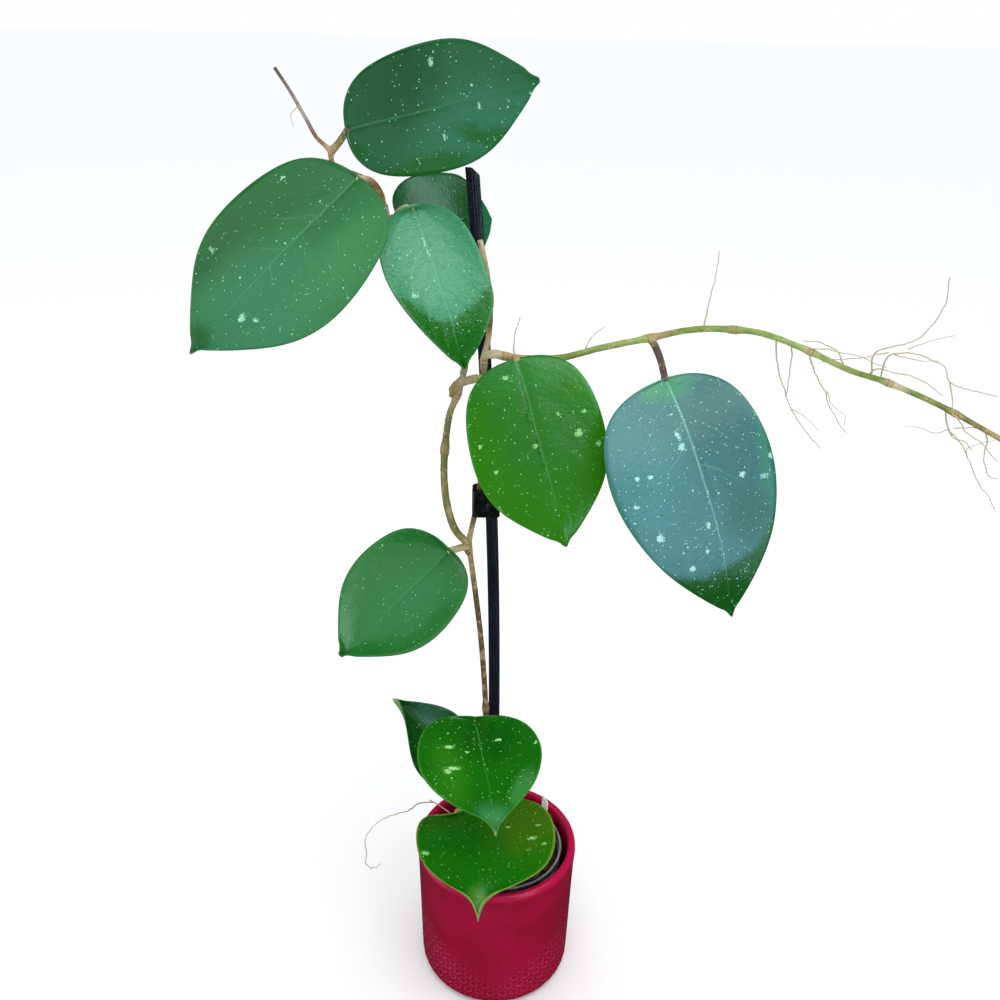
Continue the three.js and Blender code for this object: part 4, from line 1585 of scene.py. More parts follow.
@dataclass(frozen=True)
class Leaf:
    """One blade between its base and its tip, in millimetres, as the solids' source shapes it.

    Attributes:
        node: the solid that it stands for.
        base, tip, facing: its ends, and the direction that its upper face looks in.
        width, skew: its width, and how much wider its right half is, as a share.
        lobe, left_lobe: how far it reaches back beside its base, and how much less that is on one side.
        belly, lean: where it is widest, and how much further along on the right, as shares of its length.
        shoulder, point, point_width: how full it is past there, and where and how wide its point starts.
        arch, dish, wave: how far it bends along, across and in ripples, as shares of its length.
        ripples, ripple_offset: how many waves there are, and how far the right half's are moved.
        finish: its upper face's finish.
        pucker, swell: how high the puckers between its veins and its slow swells are.
        rows, columns: the faces of its grid.
        blade_thickness, margin_thickness: how thick its middle and its margin are.
        tip_curl, roll: how far its tip and its margin curl down.
        easing, base_round: how often its outline is eased, and how much rounder its base starts out.
        mucro: how far its tip is drawn out.
    """

    node: str
    base: Triple
    tip: Triple
    facing: Triple
    width: float
    skew: float
    lobe: float
    belly: float
    lean: float
    shoulder: float
    point: float
    arch: float
    dish: float
    wave: float
    finish: LeafFinish
    pucker: float = 0.04
    swell: float = 0.55
    rows: int = 90
    columns: int = 64
    blade_thickness: float = 1.9
    margin_thickness: float = 1.1
    point_width: float = 0.13
    tip_curl: float = 0.02
    ripples: float = 1.5
    ripple_offset: float = 2.0
    roll: float = 0.4
    easing: int = 110
    base_round: float = 0.012
    left_lobe: float = 0.0
    mucro: float = 2.2

    def half_outline(self, length: float, sign: int, shares: np.ndarray) -> np.ndarray:
        """One half of the outline, drawn on the right.

        Args:
            length: the blade's length.
            sign: 1 for the right half and -1 for the left one.
            shares: places along the outline.
        Returns:
            Rows of along and across.
        """
        half = (self.width / 2) * (1 + sign * self.skew)
        belly = self.belly + sign * self.lean
        rest = 1 - belly
        lobe = self.lobe + self.base_round - (self.left_lobe if sign > 0 else 0)
        points = np.array(
            [
                (0, 0),
                (-lobe, 0.44),
                (0.3 * belly - 0.4 * lobe, 0.86),
                (belly, 1),
                (belly + 0.45 * rest, self.shoulder),
                (belly + 0.8 * rest - 0.5 * self.point, self.shoulder / 2),
                (1 - self.point, self.point_width),
                (1, 0),
            ]
        )
        grid = np.linspace(0, 1, OUTLINE_SAMPLES)
        fine = flat_spline(points * (length, half), grid)[0]
        back = np.linspace(1, 0, OUTLINE_SAMPLES)
        eased = (0.5 * rise(back, 0.0, 0.16) * rise(grid, 0.0, 0.05))[1:-1, None]
        for _ in range(self.easing):
            fine[1:-1] += eased * (0.5 * (fine[:-2] + fine[2:]) - fine[1:-1])
        return np.column_stack([np.interp(shares, grid, fine[:, k]) for k in range(2)])

    def axes(self) -> tuple[float, tuple[np.ndarray, ...]]:
        """The blade's own frame.

        Returns:
            Its length, and its directions along, across and out of its upper face.
        """
        along = np.array(self.tip, float) - np.array(self.base, float)
        length = float(np.linalg.norm(along))
        along /= length
        normal = np.array(self.facing, float)
        normal = normal - normal @ along * along
        normal /= np.linalg.norm(normal)
        return length, (along, np.cross(along, normal), normal)

    def spread(self, side: np.ndarray, share: np.ndarray, length: float) -> tuple[np.ndarray, ...]:
        """Lays the grid out inside the blade's outline.

        Args:
            side: the share of the way to the margin, below 0 on the left.
            share: the share of the way from base to tip along the grid.
            length: the blade's length.
        Returns:
            The places along and across, and the share of the blade's length.
        """
        stations = np.array([(s, 0) for s in (0, 0.03, 0.14, 0.33, 0.57, 0.8, 0.94, 1)])
        middle = flat_spline(stations, share)[0][:, 0] * length
        left, right = (self.half_outline(length, sign, share) for sign in (-1, 1))
        edge = np.where((side < 0)[:, None], left, right)
        away = np.abs(side)
        x, y = middle + (edge[:, 0] - middle) * away, np.sign(side) * away * edge[:, 1]
        t = x / length
        drawn = rise(t, 0.955, 1.0)
        return x + self.mucro * drawn**2, y * (1 - 0.5 * drawn), t

    def relief(self, side: np.ndarray, t: np.ndarray, y: np.ndarray, length: float) -> np.ndarray:
        """Sunken veins, puckers between them, slow swells and the rolled margin.

        Args:
            side: the share of the way to the margin, below 0 on the left.
            t: the share of the length.
            y: the way across, in millimetres.
            length: the blade's length.
        Returns:
            Heights in millimetres.
        """
        away = np.abs(side)
        sway = np.sin(11 * t + 4 * side)
        lean = away * (VEIN_LEAN[0] + VEIN_LEAN[1] * away)
        phase = VEINS * (t - lean + VEIN_WOBBLE * sway) + 0.5 * (side > 0)
        off = np.abs(phase - np.rint(phase)) * length / VEINS
        inner = rise(away, 0.02, 0.2) * rise(away, 1.0, 0.75) * rise(t, 0.0, 0.1) * rise(t, 1.0, 0.85)
        veins = -0.03 * hump(off, 1.0) * inner
        pucker = self.pucker * rise(off, 0.5, 4.5) * inner
        spots = np.column_stack([y, t * length, np.zeros(len(t))]) * MM
        seed = float(sum(map(ord, self.node)) % 17)
        pucker = pucker * (1 + 0.9 * rough(spots, 110, seed))
        swell = self.swell * rough(spots, 32, seed + 3) * rise(away, 0.0, 0.3)
        midrib = -0.3 * hump(y, 1.6) * rise(t, 1.0, 0.3)
        roll = -self.roll * rise(away, 0.93, 1.0) ** 2
        return veins + pucker + swell + midrib + roll

    def thickness(self, away: np.ndarray, share: np.ndarray) -> np.ndarray:
        """How thick the blade is, thinner towards its margin and its tip.

        Args:
            away: the share of the way to the margin.
            share: the share of the way from base to tip.
        Returns:
            The thickness in millimetres.
        """
        pole = (share < 1e-6) | (share > 1 - 1e-6)
        thick = self.blade_thickness + (self.margin_thickness - self.blade_thickness) * away**2
        return np.where(pole, self.margin_thickness, thick) * (0.35 + 0.65 * rise(share, 1.0, 0.93))

    def sheet(self, length: float, axes: tuple[np.ndarray, ...]) -> bpy.types.Object:
        """Shapes the blade's middle sheet from a grid.

        Args:
            length: the blade's length.
            axes: its directions along, across and out of its upper face.
        Returns:
            The sheet, with its place, its shares and its thickness noted at each vertex.
        """
        bpy.ops.mesh.primitive_grid_add(x_subdivisions=self.columns, y_subdivisions=self.rows, size=2)
        sheet = added(self.node.replace("leaf_", "") + "_blade")
        at = vertices_of(sheet)
        side, share = np.sign(at[:, 0]) * np.abs(at[:, 0]) ** 0.85, (at[:, 1] + 1) / 2
        away = np.abs(side)
        x, y, t = self.spread(side, share, length)
        bend = self.arch * 4 * t * (1 - t) - self.tip_curl * t**4
        ripple = self.wave * np.sin(ROUND * self.ripples * t + np.where(side < 0, 0.0, self.ripple_offset))
        z = length * (bend + (self.dish + ripple) * away**2) + self.relief(side, t, y, length)
        along, across, normal = axes
        places = np.array(self.base, float) + x[:, None] * along + y[:, None] * across + z[:, None] * normal
        place_vertices(sheet, places * MM)
        note(sheet, "blade", MM * np.column_stack([y, x, z]))
        note(sheet, "share", np.column_stack([side, t, share]))
        weights = sheet.vertex_groups.new(name="thickness")
        for k, weight in enumerate(self.thickness(away, share) / self.blade_thickness):
            weights.add([k], float(weight), "REPLACE")
        merge_close(sheet, 0.004 * MM)
        return sheet

    def build(self) -> bpy.types.Object:
        """Shapes the blade, gives it thickness and dresses both faces.

        Returns:
            The piece.
        """
        length, axes = self.axes()
        blade = self.sheet(length, axes)
        faces = blade.data.polygons
        if Vector(axes[2]).dot(faces[len(faces) // 2].normal) < 0:
            edit_all(blade, bpy.ops.mesh.flip_normals)
        for finish in (self.finish.material(length), back_material(), back_material()):
            blade.data.materials.append(finish)
        with_modifier(
            blade,
            "SOLIDIFY",
            thickness=self.blade_thickness * MM,
            offset=0,
            vertex_group="thickness",
            thickness_vertex_group=0,
            material_offset=1,
            material_offset_rim=2,
        )
        round_rim(blade, 2, 0.42 * MM)
        smooth(blade)
        return finished(blade, Slot.BLADE, self.node)


def back_material() -> bpy.types.Material:
    """The one finish that all the leaves' under faces share."""
    found = bpy.data.materials.get(LeafBackFinish().name)
    return found or LeafBackFinish().material()


# The reflection patches in each finish are painted: paler, bluer or darker greens where the gloss would
# mirror light or none.
LEAVES = (
    Leaf(
        "leaf_top", (-91.5, 4, 620), (10.5, -26, 648.5), (0.09, -0.95, 0.29),
        width=68, skew=0, lobe=-0.03, belly=0.5, lean=0.02, shoulder=0.84, point=0.015,
        arch=-0.02, dish=0.01, wave=0.005,
        finish=LeafFinish(
            "top_leaf", tone(22, 82, 34), tone(34, 98, 58), margin=tone(18, 84, 14), vein=tone(70, 140, 96),
            vein_strength=0.10, midrib_strength=0.32, flecks=1.2, pale=tone(156, 220, 184),
            painted_reflections=(
                PaintedReflection(18, 78, 24, 34, tone(38, 104, 72), 1.2),
                PaintedReflection(-22, 30, 26, 26, tone(12, 70, 22), 1.2, 0.8),
                PaintedReflection(30, 40, 6, 30, tone(14, 88, 12), 0.9, 0.9),
                PaintedReflection(24, 84, 5, 24, tone(14, 88, 12), 0.9, 0.8, 30),
            ),
            splashes=((-22.5, 55, 2.2, 1.2), (5, 78, 1.6, 0.9), (16, 56, 1.4, 0.9)),
        ),
    ),
    Leaf(
        "leaf_upper_left", (-84.5, -8, 596.3), (-170.5, -62, 513), (-0.38, -0.78, 0.49),
        width=106, skew=-0.04, lobe=-0.03, belly=0.48, lean=-0.04, shoulder=0.8, point=0.036,
        arch=0.01, dish=0.015, wave=0.006,
        finish=LeafFinish(
            "upper_left_leaf", tone(30, 98, 42), tone(42, 114, 58), margin=tone(40, 116, 50),
            vein=tone(96, 164, 120), vein_strength=0.26, midrib_strength=0.30, flecks=1.0,
            pale=tone(160, 226, 192),
            painted_reflections=(
                PaintedReflection(32, 40, 22, 40, tone(26, 92, 32), 1.0, 0.8),
                PaintedReflection(-14, 92, 34, 40, tone(46, 114, 76), 1.2, 0.8),
                PaintedReflection(-34, 40, 16, 34, tone(52, 124, 66), 1.2, 0.8),
                PaintedReflection(36, 96, 12, 34, tone(18, 82, 26), 1.0, 0.7),
                PaintedReflection(4, 126, 9, 10, tone(14, 84, 16), 0.9, 0.9),
            ),
            splashes=((-11, 101, 1.8, 2.2), (-19, 97, 1.6, 1.0), (36, 26, 0.9, 1.6)),
        ),
    ),
    Leaf(
        "leaf_behind_stake", (-65, 8, 573), (-11, 44, 566.5), (0.3, -0.8, 0.5),
        width=54, skew=0, lobe=0.01, belly=0.52, lean=0, shoulder=0.92, point=0.01,
        arch=0.05, dish=0.01, wave=0.01,
        finish=LeafFinish(
            "leaf_behind", tone(20, 90, 48), tone(38, 112, 72), margin=tone(14, 84, 20), vein_strength=0.08,
            midrib_strength=0.1, flecks=1.2, pale=tone(150, 214, 180),
            painted_reflections=(PaintedReflection(-6, 46, 22, 10, tone(10, 72, 14), 0.8, 0.8),),
        ),
        mucro=0.0,
    ),
    Leaf(
        "leaf_upper_front", (-55, -9, 581), (-25, -42, 501), (0.27, -0.75, 0.61),
        width=59.5, skew=0.03, lobe=-0.04, belly=0.51, lean=-0.09, shoulder=0.75, point=0.01,
        arch=0.045, dish=0.055, wave=0.012,
        finish=LeafFinish(
            "upper_front_leaf", tone(14, 92, 8), tone(26, 104, 18), margin=tone(30, 112, 24),
            vein=tone(120, 180, 140), vein_strength=0.35, midrib_strength=0.3, pale=tone(170, 230, 200),
            crinkle=1.0,
            painted_reflections=(
                PaintedReflection(5, 21, 33, 46, tone(60, 136, 94), 0.14, 1.0, -24),
                PaintedReflection(2, 26, 18, 22, tone(72, 146, 108), 1.2, 0.7),
                PaintedReflection(4, 48, 12, 10, tone(80, 152, 118), 1.2, 0.5),
            ),
            splashes=((1.0, 20.0, 0.5, 3.2), (0.6, 27.0, 0.5, 1.6), (25, 12, 0.9, 1.8)),
        ),
        pucker=0.12,
    ),
    Leaf(
        "leaf_centre", (5.5, -14, 496.5), (37.5, -50, 393.3), (0.07, -0.91, 0.41),
        width=83, skew=0.02, lobe=-0.03, belly=0.46, lean=0.02, shoulder=0.85, point=0.027,
        arch=0.036, dish=-0.01, wave=0.008,
        finish=LeafFinish(
            "centre_leaf", tone(38, 114, 4), tone(46, 120, 14), margin=tone(48, 136, 10),
            vein=tone(78, 146, 72), vein_strength=0.24, midrib_strength=0.42, flecks=1.3, crinkle=0.6,
            pale=tone(148, 222, 136),
            painted_reflections=(
                PaintedReflection(-2, 40, 26, 40, tone(42, 112, 34), 1.0, 0.9),
                PaintedReflection(2, 8, 30, 12, tone(44, 122, 46), 1.0, 0.7),
                PaintedReflection(1.8, 34, 0.8, 30, tone(20, 84, 14), 0.7, 0.8),
            ),
            splashes=(
                (9.6, 9, 2.0, 1.1), (-34, 60.5, 1.4, 1.5), (-24, 51.5, 2.1, 1.9), (-15, 37, 0.9, 0.8),
                (34.6, 44, 1.0, 1.0), (29.3, 61, 1.0, 0.9), (3, 52, 1.6, 1.0), (-30, 40, 1.6, 0.8),
            ),
        ),
        pucker=0.06,
    ),
    Leaf(
        "leaf_right", (93.3, -16, 487), (141, -56, 350.5), (0.2, -0.9, 0.39),
        width=103.6, skew=0.1, lobe=-0.03, belly=0.4, lean=-0.015, shoulder=0.77, point=0.048,
        arch=0.1, dish=0.01, wave=0.006,
        finish=LeafFinish(
            "right_leaf", tone(6, 72, 6), tone(16, 84, 18), margin=tone(30, 112, 60),
            vein=tone(112, 178, 158), vein_strength=0.22, midrib_strength=0.75, flecks=1.8, crinkle=0.35,
            pale=tone(178, 232, 226),
            painted_reflections=(
                PaintedReflection(4, 52, 58, 68, tone(56, 112, 112), 0.1, 1.0, 10),
                PaintedReflection(-24, 50, 24, 40, tone(36, 92, 90), 1.0, 0.8),
                PaintedReflection(34, 44, 16, 40, tone(66, 124, 126), 1.2, 0.7),
                PaintedReflection(4, 4, 16, 8, tone(64, 142, 96), 1.2, 0.8),
                PaintedReflection(-44, 50, 5, 50, tone(36, 112, 84), 0.8, 0.6, 12),
                PaintedReflection(-22, 92, 16, 16, tone(22, 82, 66), 1.2, 0.6),
            ),
            splashes=(
                (6.5, 33, 1.3, 2.7), (6.5, 40, 1.8, 2.1), (30.6, 50.5, 1.6, 1.0), (38.6, 49, 1.3, 1.3),
                (44.5, 64, 1.5, 1.0),
                (36, 86, 2.1, 2.1), (5, 89, 0.9, 1.9), (9.5, 104, 1.0, 1.4), (21, 111, 1.9, 1.4),
                (-24, 67, 2.1, 1.4),
                (-44, 62, 1.3, 1.8),
            ),
        ),
        pucker=0.06,
    ),
    Leaf(
        "leaf_mid_left", (-35, -14, 368), (-98, -62, 319.6), (-0.19, -0.74, 0.64),
        width=75.5, skew=0.04, lobe=-0.02, belly=0.45, lean=-0.02, shoulder=0.83, point=0.016,
        arch=-0.02, dish=0.06, wave=0.004,
        finish=LeafFinish(
            "mid_left_leaf", tone(26, 102, 36), tone(38, 114, 50), margin=tone(24, 108, 26),
            vein=tone(70, 150, 84), vein_strength=0.14, midrib_strength=0.25, crinkle=0.4,
            pale=tone(140, 220, 160),
            painted_reflections=(
                PaintedReflection(-12, 34, 20, 22, tone(38, 112, 56), 1.2, 0.8),
                PaintedReflection(-30, 50, 8, 30, tone(20, 98, 20), 1.0, 0.7),
            ),
        ),
        pucker=0.06,
    ),
    Leaf(
        "leaf_low_back", (-19.5, 14, 152), (-77, 16, 229), (0.5, -0.6, 0.6),
        width=53, skew=-0.06, lobe=0, belly=0.45, lean=0, shoulder=0.75, point=0.06,
        arch=0.03, dish=0.08, wave=0.04,
        finish=LeafFinish(
            "low_back_leaf", tone(4, 72, 8), tone(14, 88, 18), margin=tone(12, 84, 16), margin_strength=0.2,
            vein_strength=0.12,
            midrib_strength=0.3, roughness=0.24, crinkle=0.5,
            painted_reflections=(PaintedReflection(12, 68, 9, 14, tone(50, 100, 76), 1.2, 0.8),),
        ),
        mucro=0.0,
    ),
    Leaf(
        "leaf_low_front", (-18, -6, 227.5), (-1, -100, 214), (0.13, -0.33, 0.93),
        width=87.5, skew=0.05, lobe=0, belly=0.44, lean=0.06, shoulder=0.77, point=0.065,
        arch=0.05, dish=0.045, wave=0.004,
        finish=LeafFinish(
            "low_front_leaf", tone(8, 94, 0), tone(18, 110, 2), margin=tone(58, 138, 26), margin_strength=0.8,
            vein=tone(60, 140, 50), vein_strength=0.10, midrib_strength=0.6, pale=tone(170, 236, 150),
            flecks=1.1,
            painted_reflections=(
                PaintedReflection(24, 52, 12, 30, tone(44, 124, 8), 1.3, 0.7),
                PaintedReflection(-1, 92, 12, 13, tone(66, 144, 84), 1.2, 0.8),
                PaintedReflection(-22, 70, 6, 18, tone(66, 146, 74), 1.2, 0.6, 24),
                PaintedReflection(-6, 24, 22, 20, tone(4, 80, 0), 1.2, 0.6),
            ),
            splashes=(
                (22, 29, 2.8, 1.3), (22, 49, 4.2, 1.3), (26, 52, 2.2, 1.6), (-13, 24, 2.2, 1.3),
                (10, 34, 1.6, 0.8), (-38, 31, 0.9, 1.4),
            ),
        ),
    ),
    Leaf(
        "leaf_over_rim", (-10.5, 3, 142), (-12, -86, 124.5), (-0.1, -0.42, 0.9),
        width=102, skew=-0.08, lobe=0.03, belly=0.37, lean=-0.05, shoulder=0.87, point=0.12,
        arch=0.1, dish=0.06, wave=0.004,
        finish=LeafFinish(
            "over_rim_leaf", tone(8, 98, 0), tone(20, 114, 0), margin=tone(128, 150, 50),
            margin_strength=0.75,
            vein_strength=0.05, midrib_strength=0.08, pale=tone(150, 226, 130), flecks=1.2,
            painted_reflections=(
                PaintedReflection(-30, 20, 30, 28, tone(66, 112, 2), 1.3, 0.9),
                PaintedReflection(30, 14, 22, 14, tone(40, 98, 6), 1.2, 0.7),
                PaintedReflection(4, 40, 20, 28, tone(6, 102, 0), 1.2, 0.6),
                PaintedReflection(0, 84, 6, 12, tone(96, 150, 50), 1.2, 0.7),
            ),
            splashes=(
                (-46, 43.7, 1.4, 1.0), (-38, 38, 3.0, 1.2), (-42, 27, 2.0, 0.9), (38, 49.6, 2.6, 1.4),
                (-20, 26, 2.0, 0.8),
            ),
        ),
        left_lobe=0.2,
    ),
)


# ---------------------------------------------------------------- stems and roots


@dataclass(frozen=True)
class LeafyStem:
    """A stem with its petioles and roots, grown as one piece."""

    node: str
    name: str
    slot: Slot
    tubes: tuple[Tube, ...]
    finish: StemFinish

    def build(self) -> bpy.types.Object:
        """Builds every tube and joins them.

        Returns:
            The piece.
        """
        parts = [tube.build(f"{self.name}_{k}") for k, tube in enumerate(self.tubes)]
        piece = joined(self.name, parts)
        piece.data.materials.append(self.finish.material())
        return finished(piece, self.slot, self.node)


def petiole(points: list[Triple], start: float, end: float, *tints: tuple[float, Tint]) -> Tube:
    """A short, thick leaf stalk that runs a little into its blade.

    Args:
        points: the points that it passes through.
        start, end: its radius at both ends.
        tints: its colours at shares of its length, or none for brown to tan.
    Returns:
        The stalk.
    """
    tints = tints or ((0.0, Tint.BROWN), (1.0, Tint.TAN))
    return Tube(points, start, end, tints=tints, step=0.9, flare=(0.12, 0.12), reach=(0.0, 0.8))


def knuckle(points: list[Triple], start: float, end: float, *tints: tuple[float, Tint]) -> Tube:
    """A short, lumpy piece of old stem at a joint, or a dry scale of one."""
    return Tube(points, start, end, tints=tints, step=0.6, bumps=0.22, flare=(-0.5, -0.5))


MAIN_STEM = LeafyStem(
    "main_stem",
    "woody_main_stem",
    Slot.BROWN_STEM,
    (
        Tube(
            [
                (-9, 7, 45), (-9.9, 7.5, 130), (-9.9, 5.5, 190), (-9.7, 4, 225), (-13.8, 2, 290),
                (-21.4, -1.5, 357), (-22.6, -2, 366), (-18.3, -0.5, 390.5), (-15.9, 0, 406),
                (-13.6, -1, 440), (-13.8, -1.3, 474), (-14, -2.7, 493.5), (-11.5, -2.6, 506),
                (-10.8, -2.6, 523), (-12.9, -2.8, 543), (-17.1, -3.2, 563),
            ],
            2.1,
            1.7,
            (0.16, 0.36, 0.615, 0.86),
            (
                (0.0, Tint.DARK), (0.36, Tint.BROWN), (0.55, Tint.BROWN), (0.6, Tint.TAN), (0.63, Tint.TAN),
                (0.66, Tint.BROWN), (0.78, Tint.RUST), (0.84, Tint.BROWN), (0.865, Tint.CREAM),
                (0.9, Tint.BROWN), (0.97, Tint.TAN), (1.0, Tint.CREAM),
            ),
        ),
        petiole([(-9.7, 4, 222), (-13.5, -1, 226), (-18, -6.4, 227.2)], 1.7, 1.5),
        petiole([(-9.9, 7.5, 128), (-10.4, 5.2, 137), (-10.6, 2.6, 142.2)], 1.9, 1.6),
        petiole([(-9.9, 7.5, 128), (-12.5, 11, 139), (-19.7, 14.2, 152.4)], 1.9, 1.6),
        petiole(
            [(-22.6, -2, 366), (-28, -8, 367), (-35.4, -14.3, 367.8)],
            2.5, 2.2, (0, Tint.TAN), (1, Tint.CREAM),
        ),
        knuckle(
            [(-21.6, -1.6, 357), (-23.4, -2.2, 364), (-24.6, -3.2, 370)],
            2.4, 3.0, (0, Tint.BROWN), (1, Tint.TAN),
        ),
    ),
    StemFinish("brown_stem_skin", streaks=0.8, specks=0.35),
)

CLIMBING_SHOOT = LeafyStem(
    "climbing_shoot",
    "olive_climbing_shoot",
    Slot.OLIVE_STEM,
    (
        Tube(
            [
                (-24, -3.5, 369), (-31, -8, 380), (-36.2, -10, 399), (-38, -10, 423), (-34.5, -10, 459),
                (-31, -10, 469), (-27.5, -10, 480), (-25, -9, 493), (-30, -5, 515), (-48, 0, 545),
                (-68, 2, 566), (-72, 3, 580), (-80, 4, 593), (-100, 4, 602), (-101.5, 4, 609),
                (-108.6, 4, 616), (-113.7, 5, 625), (-121.7, 6, 639), (-129.7, 7, 651),
            ],
            2.5,
            0.9,
            (0.22, 0.33, 0.6, 0.84),
            (
                (0.0, Tint.TAN), (0.04, Tint.OLIVE), (0.28, Tint.OLIVE), (0.32, Tint.TAN), (0.35, Tint.GREY),
                (0.4, Tint.OLIVE), (0.6, Tint.GREY), (0.64, Tint.BROWN), (0.8, Tint.OLIVE), (0.85, Tint.TAN),
                (0.88, Tint.RUST), (0.91, Tint.GREY), (1.0, Tint.DARK),
            ),
        ),
        petiole(
            [(-101.5, 4, 608), (-96, 3.5, 613.5), (-91, 3.7, 620.4)],
            2.2, 1.8, (0, Tint.TAN), (0.5, Tint.OLIVE), (1, Tint.DARK),
        ),
        petiole(
            [(-72, 3, 576), (-74, 0, 588), (-79, -5, 595), (-85, -8.2, 596)],
            2.1, 1.7, (0, Tint.TAN), (0.6, Tint.RUST), (1, Tint.CREAM),
        ),
        petiole(
            [(-68, 2, 567), (-64, -4, 577), (-59, -8, 581), (-54.5, -9.3, 580.6)],
            1.8, 1.5, (0, Tint.BROWN), (1, Tint.CREAM),
        ),
        petiole([(-71, 3, 572), (-68.5, 6, 573), (-64.8, 8.2, 573)], 1.8, 1.5),
        knuckle(
            [(-28.5, -10, 479), (-23, -7.6, 480.6), (-14, -1.8, 481.6)],
            3.0, 2.6, (0, Tint.TAN), (1, Tint.CREAM),
        ),
        knuckle(
            [(-33.5, -10, 471), (-30.6, -10, 477), (-28.4, -9.8, 482)],
            2.9, 3.1, (0, Tint.OLIVE), (1, Tint.TAN),
        ),
        knuckle(
            [(-27.4, -9.6, 482), (-25.6, -9, 488), (-24.6, -8.8, 493)],
            2.3, 1.4, (0, Tint.GREY), (1, Tint.GREY),
        ),
        knuckle(
            [(-70.6, 1.0, 569), (-70.9, 1.4, 575), (-70.9, 1.6, 581)],
            2.7, 2.5, (0, Tint.GREY), (1, Tint.GREY),
        ),
        root([(-118, 5.6, 632), (-122, 5, 627), (-121, 4.6, 621)], 0.3, 0.12),
    ),
    StemFinish("olive_stem_skin", streaks=0.65, specks=0.5),
)

RUNNER = LeafyStem(
    "runner",
    "green_runner_and_roots",
    Slot.GREEN_STEM,
    (
        Tube(
            [
                (-14, -3, 494.5), (-9.5, -5, 496.5), (4.6, -3, 494), (32, 2, 493), (56, 2, 499.6),
                (85, 0, 507), (108, 0, 512.3), (126, 0, 513.3), (148.6, -5, 512.7), (172, -10, 506),
                (202, -15, 494), (222, -20, 489), (254, -25, 477), (291, -30, 459), (299, -31, 455),
            ],
            2.1,
            1.6,
            (0.04, 0.31, 0.46, 0.6, 0.75, 0.88),
            (
                (0.0, Tint.CREAM), (0.07, Tint.TAN), (0.12, Tint.MOSS), (0.3, Tint.FRESH), (0.32, Tint.TAN),
                (0.36, Tint.MOSS), (0.6, Tint.FRESH), (0.73, Tint.MOSS), (0.76, Tint.CREAM), (0.8, Tint.MOSS),
                (0.9, Tint.OLIVE), (0.97, Tint.TAN), (1.0, Tint.RUST),
            ),
        ),
        knuckle(
            [(-15, -3, 494.6), (-9.5, -5, 496.5), (3.5, -3.6, 494.4)],
            2.9, 2.3, (0, Tint.CREAM), (1, Tint.CREAM),
        ),
        petiole(
            [(4.6, -3, 494), (4.8, -9, 496), (5.6, -14.4, 496.2)],
            2.0, 1.7, (0, Tint.CREAM), (1, Tint.TAN),
        ),
        petiole(
            [(85, 0, 507), (88, -6, 502.5), (90.7, -12, 496), (93.3, -16.3, 486.6)],
            2.3, 2.0, (0, Tint.TAN), (0.3, Tint.DARK), (1, Tint.DARK),
        ),
        root([(116, 0, 513), (120, 7, 533), (124, 14, 556)]),
        root([(46, 2, 497), (50, 7, 504), (58, 12, 510)]),
        root([(4, -2, 494), (4, 5, 506), (7, 10, 515)]),
        root([(158, -7, 510), (162, -2, 494), (172, 3, 471), (179, 8, 459), (191, 13, 444), (203, 18, 431)]),
        root([(167, -9, 508), (170, -4, 492), (172, 3, 471)]),
        root([(177, -11, 504), (184, -4, 490), (193, 2, 478), (203, 9, 461), (217, 16, 443)]),
        root([(199, -15, 495), (194, -11, 504), (184, -6, 508), (176, -2, 508)]),
        root([
            (214, -18, 491), (212, -21, 506), (219, -24, 511), (234, -27, 518), (241, -34, 539),
            (238, -40, 555),
        ]),
        root([
            (219, -19, 490), (219, -23, 505), (228, -27, 509), (248, -32, 503), (252, -36, 495),
            (266, -40, 491), (277, -44, 490),
        ]),
        root([(252, -36, 495), (254, -38, 488), (255, -40, 480)]),
        root([(212, -17, 492), (215, -21, 497), (228, -24, 495), (240, -28, 493), (251, -32, 485)]),
        root([
            (257, -26, 476), (264, -22, 461), (273, -18, 453), (283, -14, 440), (293, -10, 425),
            (307, -6, 409), (313, -4, 400),
        ]),
        root([(264, -22, 461), (266, -25, 457), (272, -27, 456), (277, -30, 451)]),
        root([(260, -26, 474), (263, -30, 471), (269, -35, 464), (278, -40, 458), (286, -44, 450)]),
        root([(173, -11, 506), (186, -16, 506.5), (203, -20, 504), (219, -24, 499)], 0.4, 0.2),
        root([(219, -24, 508), (205, -20, 503), (190, -14, 500), (184, -12, 497)], 0.4, 0.18),
        root([(228, -27, 511), (240, -30, 517), (250, -33, 521)], 0.35, 0.15),
        root([(222, -24, 507), (236, -26, 504), (247, -29, 505)], 0.35, 0.15),
        root([(196, 2, 475), (201, 5, 466), (212, 9, 457), (214, 12, 449)], 0.3, 0.15),
        root([(178, 8, 461), (186, 6, 457), (196, 4, 449)], 0.3, 0.15),
        root([(264, -22, 461), (256, -24, 459), (246, -26, 463), (236, -27, 464)], 0.35, 0.15),
        root([(267, -23, 462), (276, -27, 464), (284, -30, 461)], 0.35, 0.15),
        root([(283, -14, 440), (280, -17, 446), (285, -21, 452), (292, -24, 455)], 0.3, 0.15),
        root([(282, -28, 463), (287, -24, 457), (290, -20, 444), (297, -16, 429), (306, -12, 425)]),
    ),
    StemFinish("green_stem_skin", streaks=0.7, specks=0.55),
)

